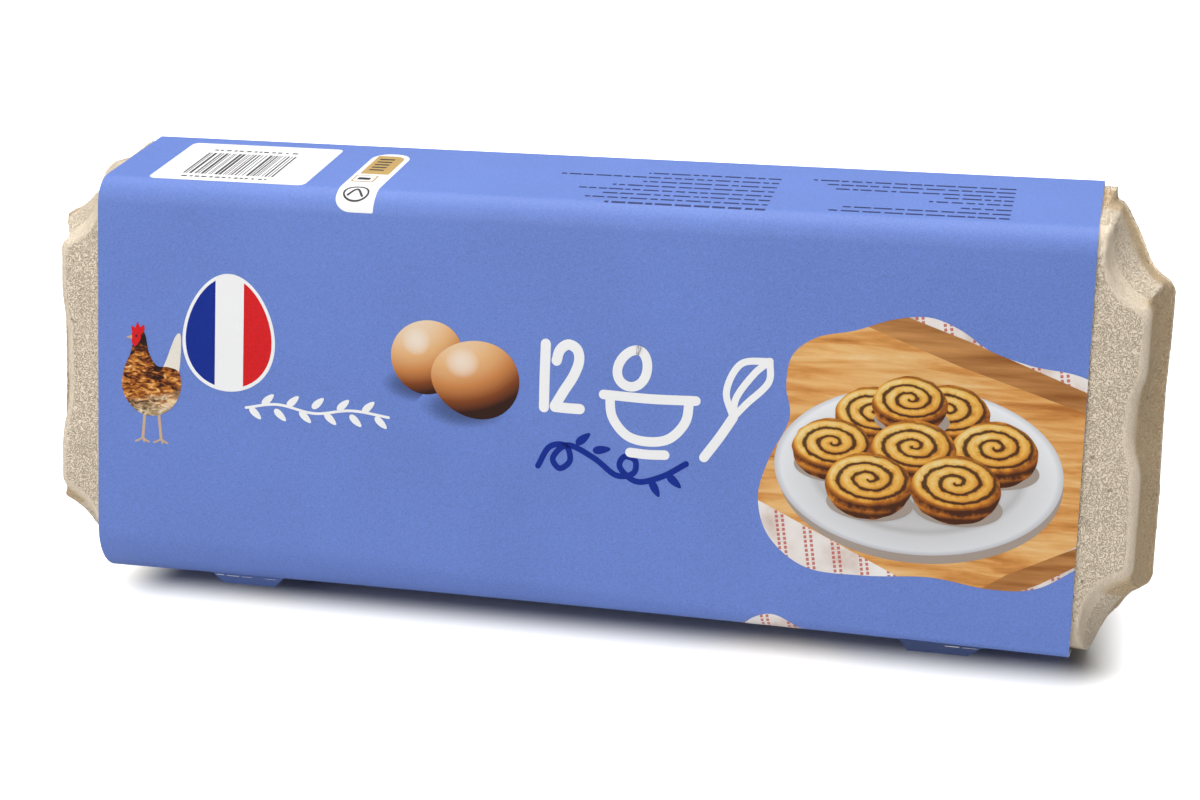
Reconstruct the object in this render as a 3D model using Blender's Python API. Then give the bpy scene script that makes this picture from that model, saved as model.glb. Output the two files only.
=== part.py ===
"""Shut moulded-pulp carton for twelve eggs in a printed card sleeve, standing on a long side.

The shapes are worked out in the pack's own frame: X along its length, Y from the printed front
to the back, Z across its width, with zero at the middle of the front panel. An empty then tips
the pack back by LEAN, so that it rests on the lower back side panel of the sleeve.
"""

import math

import bmesh
import bpy
from mathutils import Matrix, Vector

# Sleeve
SLEEVE_LENGTH = 0.252
FRONT_WIDTH = 0.1014       # between the two front bends, as sharp corners
LID_SIDE_DEPTH = 0.0381    # from the front panel back to the widest line
FLARE = 0.0101             # how much the upper side goes out over that depth
LOWER_DRAW = 0.0020        # how much less the lower side goes out
BASE_SIDE_DEPTH = 0.0306   # from the widest line to the back panel
LEAN = math.radians(8.2)   # taper of the back side panels, and so the tilt of the pack
CARD = 0.0005
FOLD_RADIUS = 0.0010
FRONT_BEND_RADIUS = 0.0075
LOWER_BEND_LEFT = 0.0125   # the lower front bend is round at the left and sharp at the right
LOWER_BEND_RIGHT = 0.0014
FOLD_BOW = 0.0010          # how much the lower front bend is drawn up at mid length

# Flaps cut across the lower front bend
FLAP_PLACES = (-0.0873, 0.0958)
FLAP_ROOT = 0.0205
FLAP_TIP = 0.0145
FLAP_SKEW = -0.0012        # how far a tip is set off from the middle of its root
FLAP_REACH = 0.0051
FLAP_TILT = math.radians(45)
FLAP_OVERLAP = 0.0006      # how far a flap's root reaches into the bend
WINDOW_START = 0.0024      # where the window behind a flap begins, from the bend
WINDOW_EXTRA = 0.0022      # how much longer than the flap its window is
WINDOW_PLAY = 0.0004
WINDOW_CUT = 0.0018        # half the thickness of the cutter, enough to pass the card

# Carton: the end rim and the corners, as distances from the pack's middle
RIM_END = 0.1444
CREST_END = 0.1394         # edge of the lid's face
PIVOT = 0.104              # the ends are swept in angle about this X
END_SHIFT = 0.0020         # both ends sit this much higher than the sleeve's middle
RIM_DEPTH_END = 0.0195     # depth of the lid and base joint at the ends
RIM_DEPTH_SIDE = 0.0372    # and along the long sides
RIM_THICKNESS = 0.0019
RIM_TOP_END = RIM_DEPTH_END - RIM_THICKNESS
RIM_TOP_SIDE = RIM_DEPTH_SIDE - RIM_THICKNESS
RIM_STEP = 0.0006          # small step from the lid's wall up to its rim
UNDER_STEP = 0.0008        # and from the base's rim down to its wall
UNDER_INSET = 0.0026
JOINT_GAP = 0.0003
SLEEVE_PLAY = 0.0008
BEND_ROOM = 0.55           # share of the front bend's radius that the lid stays clear of
BEND_ROOM_FALL = 0.75      # and how fast that room shrinks with depth
CAP_INSET = 0.25           # the closed faces between lid and base are drawn in by this share
CAP_INSET_X = 0.45         # of which this share along X

# The two ends differ a little, as moulded pulp does: 1 is the right end, -1 the left
CREST_CUT = {1: 0.0, -1: 0.0015}            # how much shorter the lid's face is
DIP_PLACE = {1: 0.0065, -1: 0.0015}         # saddle between the two egg rows
DIP_WIDTH = {1: 0.0095, -1: 0.0150}
DIP_DEPTH = {1: 0.0022, -1: 0.0018}
UPPER_STRETCH = {1: 0.0, -1: 0.0019}        # how much wider the corners are spread
LOWER_STRETCH = {1: 0.0, -1: 0.0006}
STRETCH_PLACE = 0.0360
STRETCH_WIDTH = 0.0130
STRETCH_FADE = (0.0430, 0.0515)             # and where it ends, to clear the sleeve
FACE_LOSS = 0.55           # how much less the lid's face is spread than the rim
DRAW_FADE = (0.040, 0.056)                  # where the lower corners follow the lower side
NOTCH_PLACE = 0.0355       # hollow under the rim's upper left corner
NOTCH_WIDTH = 0.0031
NOTCH_WALL = 0.0085
NOTCH_RIM = 0.0034
KNOB_PLACE = -0.0545       # lump on the rim under the right end
KNOB_WIDTH = 0.0022
KNOB_REACH = 0.0022

FOOT_DEPTH = BASE_SIDE_DEPTH + LID_SIDE_DEPTH - CARD - SLEEVE_PLAY
FOOT_ROUND_START = 0.060   # the base's long edges are rounded from this depth on
FOOT_ROUNDING = 0.010
LOBE_SHARE = 0.62          # radius of an end cup, as a share of the base's half width

END_STEPS = 38             # points from the middle of an end to a long side
SIDE_STEPS = 5
END_ANGLE = math.radians(89.0)
CORNER_START = math.radians(43)   # between these angles the rim sweeps back to its side depth
CORNER_END = math.radians(64)
CORNER_BLEND = 0.122
END_SHIFT_SPAN = 0.060
SLEEVE_STATIONS = 13
ARC_STEPS = 5
SHARP_ANGLE = math.radians(30)
SOFTNESS = 0.02            # angle over which the outlines' corners are rounded
TINY = 1e-6

# How much a level is like the lid's face, where the rim is 0 and the face is 1
UPPER_TOP = 0.4
LOWER_TOP = 0.1

CARD_COLOUR = (0.15, 0.22, 0.60)
LID_COLOUR = (0.56, 0.49, 0.38)
BASE_COLOUR = (0.53, 0.46, 0.36)
CARD_ROUGHNESS = 0.42
PULP_ROUGHNESS = 0.95


def clear_scene():
    """Remove whatever the scene holds."""
    for item in list(bpy.data.objects):
        bpy.data.objects.remove(item, do_unlink=True)


def make_material(name, colour, roughness):
    """Plain Principled material of one piece."""
    material = bpy.data.materials.new(name)
    material.use_nodes = True
    shader = material.node_tree.nodes["Principled BSDF"]
    shader.inputs["Base Color"].default_value = (*colour, 1.0)
    shader.inputs["Roughness"].default_value = roughness
    shader.inputs["Metallic"].default_value = 0.0
    material.diffuse_color = (*colour, 1.0)
    return material


def smoothstep(low, high, value):
    """Smooth blend from 0 at low to 1 at high."""
    t = min(1.0, max(0.0, (value - low) / (high - low)))
    return t * t * (3.0 - 2.0 * t)


def half_widest():
    """Half width of the pack at its widest line."""
    return FRONT_WIDTH / 2 + FLARE


def half_back():
    """Half width of the sleeve's back panel."""
    return half_widest() - BASE_SIDE_DEPTH * math.tan(LEAN)


def side_z(depth):
    """Height of the sleeve's upper outer wall at a depth, before its bends."""
    if depth < LID_SIDE_DEPTH:
        return FRONT_WIDTH / 2 + FLARE * depth / LID_SIDE_DEPTH
    return half_widest() - (depth - LID_SIDE_DEPTH) * math.tan(LEAN)


def bend(before, corner, after, radius, steps):
    """Arc of the given radius in a corner: points and outward normals, running clockwise."""
    into = (corner - before).normalized()
    out = (after - corner).normalized()
    turn = into.angle(out)
    trim = radius * math.tan(turn / 2)
    start = corner - into * trim
    normal = Vector((-into.y, into.x))
    centre = start - normal * radius
    found = []
    for step in range(steps + 1):
        angle = -turn * step / steps
        arm = Vector((
            normal.x * math.cos(angle) - normal.y * math.sin(angle),
            normal.x * math.sin(angle) + normal.y * math.cos(angle),
        ))
        found.append((centre + arm * radius, arm))
    return found


def sleeve_section(x):
    """Outer outline of the sleeve at one X, as (depth, height) points with outward normals."""
    along = x / SLEEVE_LENGTH + 0.5
    lower = LOWER_BEND_LEFT + (LOWER_BEND_RIGHT - LOWER_BEND_LEFT) * smoothstep(0.0, 1.0, along)
    bow = FOLD_BOW * (1.0 - (2.0 * along - 1.0) ** 2)
    back = LID_SIDE_DEPTH + BASE_SIDE_DEPTH
    corners = [
        (Vector((0.0, FRONT_WIDTH / 2)), FRONT_BEND_RADIUS),
        (Vector((LID_SIDE_DEPTH, half_widest())), FOLD_RADIUS),
        (Vector((back, half_back())), FOLD_RADIUS),
        (Vector((back, LOWER_DRAW - half_back())), FOLD_RADIUS),
        (Vector((LID_SIDE_DEPTH, LOWER_DRAW - half_widest())), FOLD_RADIUS),
        (Vector((0.0, -FRONT_WIDTH / 2 + bow)), lower),
    ]
    outline = []
    for index, (corner, radius) in enumerate(corners):
        before = corners[index - 1][0]
        after = corners[(index + 1) % len(corners)][0]
        outline += bend(before, corner, after, radius, ARC_STEPS)
    return outline


def mesh_object(name, points, faces, material, frame):
    """Object made of points and faces, with its faces turned outwards."""
    mesh = bpy.data.meshes.new(name)
    mesh.from_pydata([tuple(point) for point in points], [], faces)
    work = bmesh.new()
    work.from_mesh(mesh)
    bmesh.ops.recalc_face_normals(work, faces=work.faces)
    work.to_mesh(mesh)
    work.free()
    mesh.materials.append(material)
    mesh.shade_smooth()
    mesh.set_sharp_from_angle(angle=SHARP_ANGLE)
    item = bpy.data.objects.new(name, mesh)
    bpy.context.scene.collection.objects.link(item)
    item.parent = frame
    return item


def band(first, second):
    """Quads between two rings of point numbers."""
    count = len(first)
    return [
        (first[i], first[(i + 1) % count], second[(i + 1) % count], second[i])
        for i in range(count)
    ]


def make_sleeve(material, frame):
    """Card tube of six panels, open at both ends."""
    points = []
    outer_rings = []
    inner_rings = []
    for station in range(SLEEVE_STATIONS):
        x = SLEEVE_LENGTH * (station / (SLEEVE_STATIONS - 1) - 0.5)
        section = sleeve_section(x)
        for rings, inset in ((outer_rings, 0.0), (inner_rings, CARD)):
            start = len(points)
            points += [(x, *(place - normal * inset)) for place, normal in section]
            rings.append(list(range(start, start + len(section))))
    faces = []
    for rings in (outer_rings, inner_rings):
        for first, second in zip(rings, rings[1:]):
            faces += band(first, second)
    faces += band(outer_rings[0], inner_rings[0])
    faces += band(outer_rings[-1], inner_rings[-1])
    return mesh_object("sleeve", points, faces, material, frame)


def lower_fold(x):
    """Point at one X where the lower bend meets the lower side: where a flap is hinged."""
    return sleeve_section(x)[-(ARC_STEPS + 1)][0]


def flap_prism(name, place, grow, directions, frame):
    """Trapezoid prism hinged on the lower bend: reach and thickness run along the directions."""
    hinge = Vector((place, *lower_fold(place)))
    reach, thickness, length, depth = directions
    corners = (
        (-FLAP_ROOT / 2 - grow, -grow / 2),
        (FLAP_ROOT / 2 + grow, -grow / 2),
        (FLAP_SKEW + FLAP_TIP / 2 + grow, length),
        (FLAP_SKEW - FLAP_TIP / 2 - grow, length),
    )
    points = []
    for level in (-depth, depth):
        for side, down in corners:
            points.append(hinge + Vector((side, 0, 0)) + reach * down + thickness * level)
    faces = [(0, 1, 2, 3), (7, 6, 5, 4)]
    faces += [(i, (i + 1) % 4, (i + 1) % 4 + 4, i + 4) for i in range(4)]
    return mesh_object(name, points, faces, None, frame)


def apply_boolean(target, tool, operation):
    """Join or cut with a second object, then remove it."""
    modifier = target.modifiers.new(operation.lower(), "BOOLEAN")
    modifier.object = tool
    modifier.operation = operation
    modifier.solver = "EXACT"
    graph = bpy.context.evaluated_depsgraph_get()
    result = bpy.data.meshes.new_from_object(target.evaluated_get(graph))
    target.modifiers.remove(modifier)
    target.data = result
    bpy.data.objects.remove(tool, do_unlink=True)


def add_flaps(sleeve, frame):
    """Two small flaps that stand off the lower bend, with the windows that they leave behind."""
    slope = math.atan2(FLARE - LOWER_DRAW, LID_SIDE_DEPTH)
    along_side = Vector((0, math.cos(slope), -math.sin(slope)))
    across_side = Vector((0, math.sin(slope), math.cos(slope)))
    hanging = Vector((0, math.sin(FLAP_TILT), -math.cos(FLAP_TILT)))
    facing = Vector((0, -math.cos(FLAP_TILT), -math.sin(FLAP_TILT)))
    for number, place in enumerate(FLAP_PLACES):
        window = (along_side, across_side, FLAP_REACH + WINDOW_EXTRA, WINDOW_CUT)
        cutter = flap_prism(f"window_{number}", place, WINDOW_PLAY, window, frame)
        cutter.location = along_side * WINDOW_START
        bpy.context.view_layer.update()
        apply_boolean(sleeve, cutter, "DIFFERENCE")
        plate = (hanging, facing, FLAP_REACH, CARD / 2)
        flap = flap_prism(f"flap_{number}", place, 0.0, plate, frame)
        flap.location = -hanging * FLAP_OVERLAP
        bpy.context.view_layer.update()
        apply_boolean(sleeve, flap, "UNION")
    sleeve.data.shade_smooth()
    sleeve.data.set_sharp_from_angle(angle=SHARP_ANGLE)


# Outlines of one end corner, from the middle of the end round to the long side: (X, half width)
CREST = (
    (CREST_END, 0.000), (CREST_END, 0.0303), (0.1386, 0.0320), (0.1360, 0.0334),
    (0.1330, 0.0354), (0.1308, 0.0381), (0.1293, 0.0411), (0.1286, 0.0445), (0.1282, 0.0600),
)
WALL_UPPER = (
    (0.1402, 0.000), (0.1402, 0.0345), (0.1417, 0.0350), (0.1412, 0.0360), (0.1385, 0.0376),
    (0.1362, 0.0402), (0.1345, 0.0432), (0.1330, 0.0462), (0.1321, 0.0486), (0.1313, 0.0510),
    (0.1302, 0.0540), (0.1290, 0.0568), (0.1287, 0.0700),
)
WALL_LOWER = (
    (0.1433, 0.000), (0.1433, 0.0347), (0.1438, 0.0351), (0.1431, 0.0366), (0.1398, 0.0388),
    (0.1378, 0.0414), (0.1360, 0.0454), (0.1338, 0.0496), (0.1315, 0.0536), (0.1308, 0.0550),
    (0.1291, 0.0562), (0.1288, 0.0700),
)
RIM = (
    (0.1442, 0.000), (RIM_END, 0.0350), (0.1434, 0.0369), (0.1402, 0.0392), (0.1384, 0.0415),
    (0.1366, 0.0456), (0.1344, 0.0498), (0.1320, 0.0538), (0.1312, 0.0552), (0.1292, 0.0563),
    (0.1288, 0.0700),
)


def reach_at(outline, angle):
    """Distance from the pivot to an outline of points, looking along an angle."""
    ray = Vector((math.cos(angle), math.sin(angle)))
    for (x0, z0), (x1, z1) in zip(outline, outline[1:]):
        start = Vector((x0 - PIVOT, z0))
        edge = Vector((x1 - x0, z1 - z0))
        cross = ray.x * edge.y - ray.y * edge.x
        if abs(cross) < TINY ** 2:
            continue
        distance = (start.x * edge.y - start.y * edge.x) / cross
        share = (start.x * ray.y - start.y * ray.x) / cross
        if -TINY <= share <= 1.0 + TINY and distance > 0:
            return distance
    return math.inf


def soft_reach(outline, angle):
    """The same distance averaged over a few close angles, which rounds the corners."""
    offsets = [SOFTNESS * step / 2 for step in range(-2, 3)]
    return sum(reach_at(outline, abs(angle + offset)) for offset in offsets) / len(offsets)


def lobed_reach(end_x, half_width, angle):
    """Distance from the pivot to the rounded end of two cups side by side."""
    radius = LOBE_SHARE * half_width
    centre = Vector((end_x - radius - PIVOT, half_width - radius))
    ray = Vector((math.cos(angle), math.sin(angle)))
    along = centre.dot(ray)
    return along + math.sqrt(max(0.0, radius * radius - centre.length_squared + along * along))


def corner_ring(reach, half_width, depth_end, depth_side, top, knob=0.0, notch=0.0):
    """Full ring of an outline that repeats in four corners, as (X, depth, height) points.

    top is 1 at the lid's face and 0 at the rim, and blends the forms that differ between them.
    knob and notch are the heights of the lump and of the hollow that sit in one corner each.
    """
    quarter = []
    for step in range(END_STEPS + 1):
        angle = END_ANGLE * step / END_STEPS
        distance = min(reach(angle), half_width / max(TINY, math.sin(angle)))
        x = PIVOT + distance * math.cos(angle)
        z = distance * math.sin(angle)
        share = smoothstep(CORNER_START, CORNER_END, angle)
        quarter.append((x, depth_end + (depth_side - depth_end) * share, z))
    last_x = quarter[-1][0]
    for step in range(1, SIDE_STEPS + 1):
        quarter.append((last_x * (1 - step / SIDE_STEPS), depth_side, half_width))
    ring = []
    for sign_x, sign_z in ((1, 1), (-1, 1), (-1, -1), (1, -1)):
        part = quarter if sign_x == sign_z else quarter[::-1]
        ring += [(sign_x * x, depth, sign_z * z) for x, depth, z in part]
    return [shape_end(point, top, knob, notch) for point in remove_doubles(ring)]


def remove_doubles(ring):
    """The ring without points that repeat the one before."""
    kept = []
    for point in ring:
        if not kept or (Vector(point) - Vector(kept[-1])).length > TINY:
            kept.append(point)
    if (Vector(kept[0]) - Vector(kept[-1])).length <= TINY:
        kept.pop()
    return kept


def shape_end(point, top, knob, notch):
    """Move a point of a symmetrical ring to where its own end and corner have it."""
    x, depth, z = point
    side = 1 if x > 0 else -1
    outer = smoothstep(PIVOT, CORNER_BLEND, abs(x))
    height = z + END_SHIFT * max(0.0, 1.0 - (abs(z) / END_SHIFT_SPAN) ** 4)
    spread = math.exp(-(((abs(z) - STRETCH_PLACE) / STRETCH_WIDTH) ** 2)) * outer
    spread *= 1.0 - smoothstep(*STRETCH_FADE, abs(z))
    if z > 0:
        height += UPPER_STRETCH[side] * (1.0 - FACE_LOSS * top) * spread
    else:
        height -= LOWER_STRETCH[side] * spread
        drawn = LOWER_DRAW * min(1.0, depth / LID_SIDE_DEPTH)
        height += drawn * smoothstep(*DRAW_FADE, abs(z))
    saddle = math.exp(-(((height - DIP_PLACE[side]) / DIP_WIDTH[side]) ** 4))
    cut = (DIP_DEPTH[side] * saddle + CREST_CUT[side]) * top * outer
    if side > 0:
        cut -= knob * math.exp(-(((height - KNOB_PLACE) / KNOB_WIDTH) ** 2)) * outer
    else:
        cut += notch * math.exp(-(((height - NOTCH_PLACE) / NOTCH_WIDTH) ** 4)) * outer
    return (x - side * cut, depth, height)


def inset_ring(ring, depth):
    """Ring drawn in towards the pack's middle, at one depth, to close a cap."""
    share_x = CAP_INSET * CAP_INSET_X
    return [(x * (1 - share_x), depth, z * (1 - CAP_INSET)) for x, _, z in ring]


def lofted(name, rings, material, frame):
    """Closed body through a list of rings, with flat fans at both ends."""
    points = []
    numbers = []
    for ring in rings:
        start = len(points)
        points += ring
        numbers.append(list(range(start, start + len(ring))))
    faces = []
    for first, second in zip(numbers, numbers[1:]):
        faces += band(first, second)
    faces.append(tuple(numbers[0]))
    faces.append(tuple(reversed(numbers[-1])))
    body = mesh_object(name, points, faces, material, frame)
    work = bmesh.new()
    work.from_mesh(body.data)
    bmesh.ops.triangulate(work, faces=[face for face in work.faces if len(face.verts) > 3])
    bmesh.ops.recalc_face_normals(work, faces=work.faces)
    work.to_mesh(body.data)
    work.free()
    return body


def inner_side(depth):
    """Half width that clears the inside of the sleeve at a depth."""
    room = max(0.0, FRONT_BEND_RADIUS * BEND_ROOM - depth * BEND_ROOM_FALL)
    return side_z(depth) - CARD - SLEEVE_PLAY - room


# Levels of the lid: outline, depth at the ends and at the sides, likeness to the face, inset
LID_LEVELS = (
    (CREST, 0.0011, 0.0011, 1.0, 0.0040),
    (CREST, 0.0016, 0.0016, 1.0, 0.0016),
    (CREST, 0.0034, 0.0044, 1.0, 0.0),
    (WALL_UPPER, 0.0095, 0.0165, UPPER_TOP, 0.0),
    (WALL_LOWER, RIM_TOP_END - RIM_STEP, RIM_TOP_SIDE - RIM_STEP, LOWER_TOP, 0.0),
    (RIM, RIM_TOP_END, RIM_TOP_SIDE, 0.0, 0.0),
    (RIM, RIM_DEPTH_END, RIM_DEPTH_SIDE, 0.0, 0.0),
)

# Levels of the base's cups: X of their ends, depth at the ends and at the sides
CUP_LEVELS = (
    (0.1395, 0.0330, 0.0445),
    (0.1368, 0.0450, 0.0505),
    (0.1325, 0.0560, 0.0575),
    (0.1275, 0.0632, 0.0632),
    (0.1215, 0.0668, 0.0668),
    (0.1160, FOOT_DEPTH, FOOT_DEPTH),
)


def make_lid(material, frame):
    """Lid: a face with a rounded crest, walls with a pocket in each end, and a rim."""
    rings = []
    for outline, depth_end, depth_side, top, inset in LID_LEVELS:
        knob = KNOB_REACH if top <= LOWER_TOP else 0.0
        notch = NOTCH_WALL * (1.0 - smoothstep(UPPER_TOP, 1.0, top)) if top > 0.0 else NOTCH_RIM
        rings.append(corner_ring(
            lambda angle: soft_reach(outline, angle) - inset,
            inner_side(depth_side) - inset, depth_end, depth_side, top, knob, notch,
        ))
    rings.append(inset_ring(rings[-1], RIM_DEPTH_SIDE))
    return lofted("lid", rings, material, frame)


def make_base(material, frame):
    """Base: a rim under the lid's, then walls that round into two cups at each end."""
    def rim(depth_end, depth_side, inset=0.0):
        return corner_ring(
            lambda angle: soft_reach(RIM, angle) - inset,
            inner_side(depth_side) - inset, depth_end, depth_side, 0.0, KNOB_REACH, NOTCH_RIM,
        )

    def cup(end_x, depth, depth_side, half_width):
        return corner_ring(
            lambda angle: lobed_reach(end_x, half_width, angle),
            half_width, depth, depth_side, 0.0,
        )

    top_end = RIM_DEPTH_END + JOINT_GAP
    top_side = RIM_DEPTH_SIDE + JOINT_GAP
    under_end = top_end + RIM_THICKNESS
    under_side = top_side + RIM_THICKNESS
    rings = [
        rim(top_end, top_side),
        rim(under_end, under_side),
        rim(under_end + UNDER_STEP, under_side + UNDER_STEP, inset=UNDER_INSET),
    ]
    rings.insert(0, inset_ring(rings[0], top_side))
    for end_x, depth, depth_side in CUP_LEVELS:
        rounding = FOOT_ROUNDING * smoothstep(FOOT_ROUND_START, FOOT_DEPTH, depth) ** 2
        rings.append(cup(end_x, depth, depth_side, inner_side(depth_side) - rounding))
    return lofted("base", rings, material, frame)


def stand_on_floor(frame, pieces):
    """Tip the pack back on its lower back panel, with zero under the middle of its box."""
    tilt = Matrix.Rotation(-LEAN, 4, "X")
    places = [tilt @ vertex.co for piece in pieces for vertex in piece.data.vertices]
    low = Vector((min(place[axis] for place in places) for axis in range(3)))
    high = Vector((max(place[axis] for place in places) for axis in range(3)))
    middle = (low + high) / 2
    frame.rotation_euler = (-LEAN, 0.0, 0.0)
    frame.location = (-middle.x, -middle.y, -low.z)


def main():
    clear_scene()
    frame = bpy.data.objects.new("pack_frame", None)
    bpy.context.scene.collection.objects.link(frame)
    card = make_material("printed_card", CARD_COLOUR, CARD_ROUGHNESS)
    pulp_lid = make_material("pulp_lid", LID_COLOUR, PULP_ROUGHNESS)
    pulp_base = make_material("pulp_base", BASE_COLOUR, PULP_ROUGHNESS)
    sleeve = make_sleeve(card, frame)
    add_flaps(sleeve, frame)
    lid = make_lid(pulp_lid, frame)
    base = make_base(pulp_base, frame)
    stand_on_floor(frame, (sleeve, lid, base))


main()
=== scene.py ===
"""Looks of a shut egg carton in a printed card sleeve: fine meshes, print, materials and stage."""
import math
import random

import bmesh
import bpy
import numpy as np
from mathutils import Matrix, Vector, noise


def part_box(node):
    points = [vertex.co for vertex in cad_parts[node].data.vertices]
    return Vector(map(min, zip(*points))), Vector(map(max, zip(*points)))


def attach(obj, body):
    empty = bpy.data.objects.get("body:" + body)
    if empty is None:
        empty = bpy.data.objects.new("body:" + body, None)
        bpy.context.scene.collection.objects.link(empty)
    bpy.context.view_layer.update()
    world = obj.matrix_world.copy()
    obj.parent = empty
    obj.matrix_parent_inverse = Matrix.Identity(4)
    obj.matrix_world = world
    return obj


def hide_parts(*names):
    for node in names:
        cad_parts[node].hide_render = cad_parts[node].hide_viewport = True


bl_info = {
    "name": "Egg carton in a card sleeve",
    "version": (1, 0, 0),
    "blender": (4, 5, 0),
    "location": "3D View > Sidebar > Egg carton",
    "description": "Builds the printed sleeve, the pulp carton and a plain studio around them",
    "category": "Object",
}

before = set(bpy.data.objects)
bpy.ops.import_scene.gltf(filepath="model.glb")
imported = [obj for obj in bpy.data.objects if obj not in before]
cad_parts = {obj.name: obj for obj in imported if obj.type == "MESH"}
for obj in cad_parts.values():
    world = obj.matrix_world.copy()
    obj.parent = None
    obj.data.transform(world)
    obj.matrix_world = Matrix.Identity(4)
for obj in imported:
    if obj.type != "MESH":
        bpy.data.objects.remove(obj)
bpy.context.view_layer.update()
sleeve_low, sleeve_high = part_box("sleeve")

# Sizes of the sleeve, in metres
SLEEVE_LENGTH = sleeve_high.x - sleeve_low.x
FRONT_WIDTH = 0.1014
LID_SIDE_DEPTH = 0.0381
FLARE = 0.0101
LOWER_DRAW = 0.0020
BASE_SIDE_DEPTH = 0.0306
LEAN = math.radians(8.2)
CARD = 0.0005
FOLD_RADIUS = 0.0010
FRONT_BEND_RADIUS = 0.0075
LOWER_BEND_LEFT = 0.0125
LOWER_BEND_RIGHT = 0.0014
FOLD_BOW = 0.0010
SIDE_SLOPE = math.atan2(FLARE, LID_SIDE_DEPTH)
LOWER_SLOPE = math.atan2(FLARE - LOWER_DRAW, LID_SIDE_DEPTH)

# Flaps on the lower front bend
FLAP_PLACES = (-0.0873, 0.0958)
FLAP_ROOT = 0.0205
FLAP_TIP = 0.0145
FLAP_SKEW = -0.0012
FLAP_REACH = 0.0051
FLAP_TILT = math.radians(45)
FLAP_OVERLAP = 0.0006
WINDOW_START = 0.0024
WINDOW_EXTRA = 0.0022
WINDOW_PLAY = 0.0004
WINDOW_CUT = 0.0018
FLAP_PAINTED_SHADES = (0.62, 0.30)          # painted shade: share of the blue that each flap keeps, darkened for the shade of a flap facing down
CREASE_SHARES = (0.55, 0.12)        # share of each root where the print has cracked
HANGING = Vector((0, math.sin(FLAP_TILT), -math.cos(FLAP_TILT)))
FACING = Vector((0, -math.cos(FLAP_TILT), -math.sin(FLAP_TILT)))

# Fine detail of the card
SLEEVE_STATIONS = 127               # sections along the sleeve
EDGE_NICK = 0.00005                 # how far the cut ends are frayed
FRONT_ROOM = 0.0001                 # a point this close to the front's plane is on the front
MARK_LIFT = 0.00003                 # how far a crease or the seam stands off the card
SEAM_EDGE = (0.0180, 0.0184)        # low and high side of the overlap's cut edge
# painted shadow strip along the seam's cut edge: its low and high side
SEAM_SHADOW = (0.0177, 0.0180)
SEAM_INSET = 0.0004
CRACK_ROOM = (0.0008, 0.0050)       # how much of a root's left and right end stays whole
CRACK_LENGTHS = (0.0010, 0.0042)    # shortest and longest crack, and so on below
CRACK_WIDTHS = (0.00012, 0.00030)
CRACK_GAPS = (0.0001, 0.0008)
CRACK_LEAN = (-0.0001, 0.0001)
CRACK_TOP = 0.0004                  # distance of the cracks from the root
CRACK_STRAY = 0.0003                # and how much further one may lie
WAVE_EDGE = 0.010                   # how far past the ends the swell of the card would die away
WAVE_FADE_X = 0.030
WAVE_HALF_WIDTH = 0.040
WAVE_FADE_S = 0.012

# Print
LIFT_STEP = 0.25                    # share of the lift that each further shape adds
BEND_START = FRONT_WIDTH / 2 - 0.008
BEND_END = FRONT_WIDTH / 2 + 0.006
BEND_SPACING = 0.0007               # distance of the cuts where the print lies on a bend
PICTURE_END = 0.12595
PICTURE_SPACING = 0.003             # distance of the cuts in the picture's large fields
DASH_WIDTH = 0.0009
BARS_SPAN = (-0.1066, -0.0815)      # left and right end of the bars, and of the dashes by them
DOTS_SPAN = (-0.1060, -0.0830)
BAR_WIDTHS = (0.00026, 0.00030, 0.00050, 0.00075)
BAR_GAPS = (0.00032, 0.00036, 0.00055, 0.00080)
DOT_LENGTHS = (0.0006, 0.0016)
DOT_GAPS = (0.0005, 0.0012)
DASH_LENGTHS = (0.0012, 0.0048)
DASH_GAPS = (0.0005, 0.0009)
# Blocks of small print: right end, and for each row its place and its length
SMALL_PRINT = (
    (0.0472, ((0.0040, 0.040), (0.0072, 0.046), (0.0105, 0.042), (0.0138, 0.049),
              (0.0172, 0.041), (0.0206, 0.034), (0.0240, 0.056), (0.0274, 0.034))),
    (0.1052, ((0.0060, 0.043), (0.0090, 0.040), (0.0122, 0.012), (0.0160, 0.020),
              (0.0192, 0.017), (0.0222, 0.044), (0.0254, 0.046), (0.0284, 0.050))),
)

# Sizes of the carton, as in its solids
RIM_END = 0.1444
CREST_END = 0.1394
PIVOT = 0.104
END_SHIFT = 0.0020
RIM_DEPTH_END = 0.0195
RIM_DEPTH_SIDE = 0.0372
RIM_THICKNESS = 0.0019
JOINT_GAP = 0.0003
SLEEVE_PLAY = 0.0008
FOOT_DEPTH = BASE_SIDE_DEPTH + LID_SIDE_DEPTH - CARD - SLEEVE_PLAY
LOBE_SHARE = 0.62
END_SHIFT_FADE = 0.060              # half width where the ends' shift has died away
RIM_ROUND = 0.0003                  # rounding of the rims' edges
JOINT_SHARES = (0.8875, 0.75)       # size of the flat ring that closes a body, along X and across
BEND_ROOM = 0.55                    # room under the front bend, as a share of its radius
BEND_ROOM_FALL = 0.75               # and how fast it closes with the depth
DEPTH_TURN = (math.radians(43), math.radians(64))   # where an end's depth becomes a side's
FOOT_ROUNDING = 0.010
FOOT_ROUND_START = 0.060
# Rings of the cups: reach along X, and depth at the end and at the side
CUP_LEVELS = (
    (0.1395, 0.0330, 0.0445), (0.1368, 0.0450, 0.0505), (0.1325, 0.0560, 0.0575),
    (0.1275, 0.0632, 0.0632), (0.1215, 0.0668, 0.0668), (0.1160, FOOT_DEPTH, FOOT_DEPTH),
)

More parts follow.
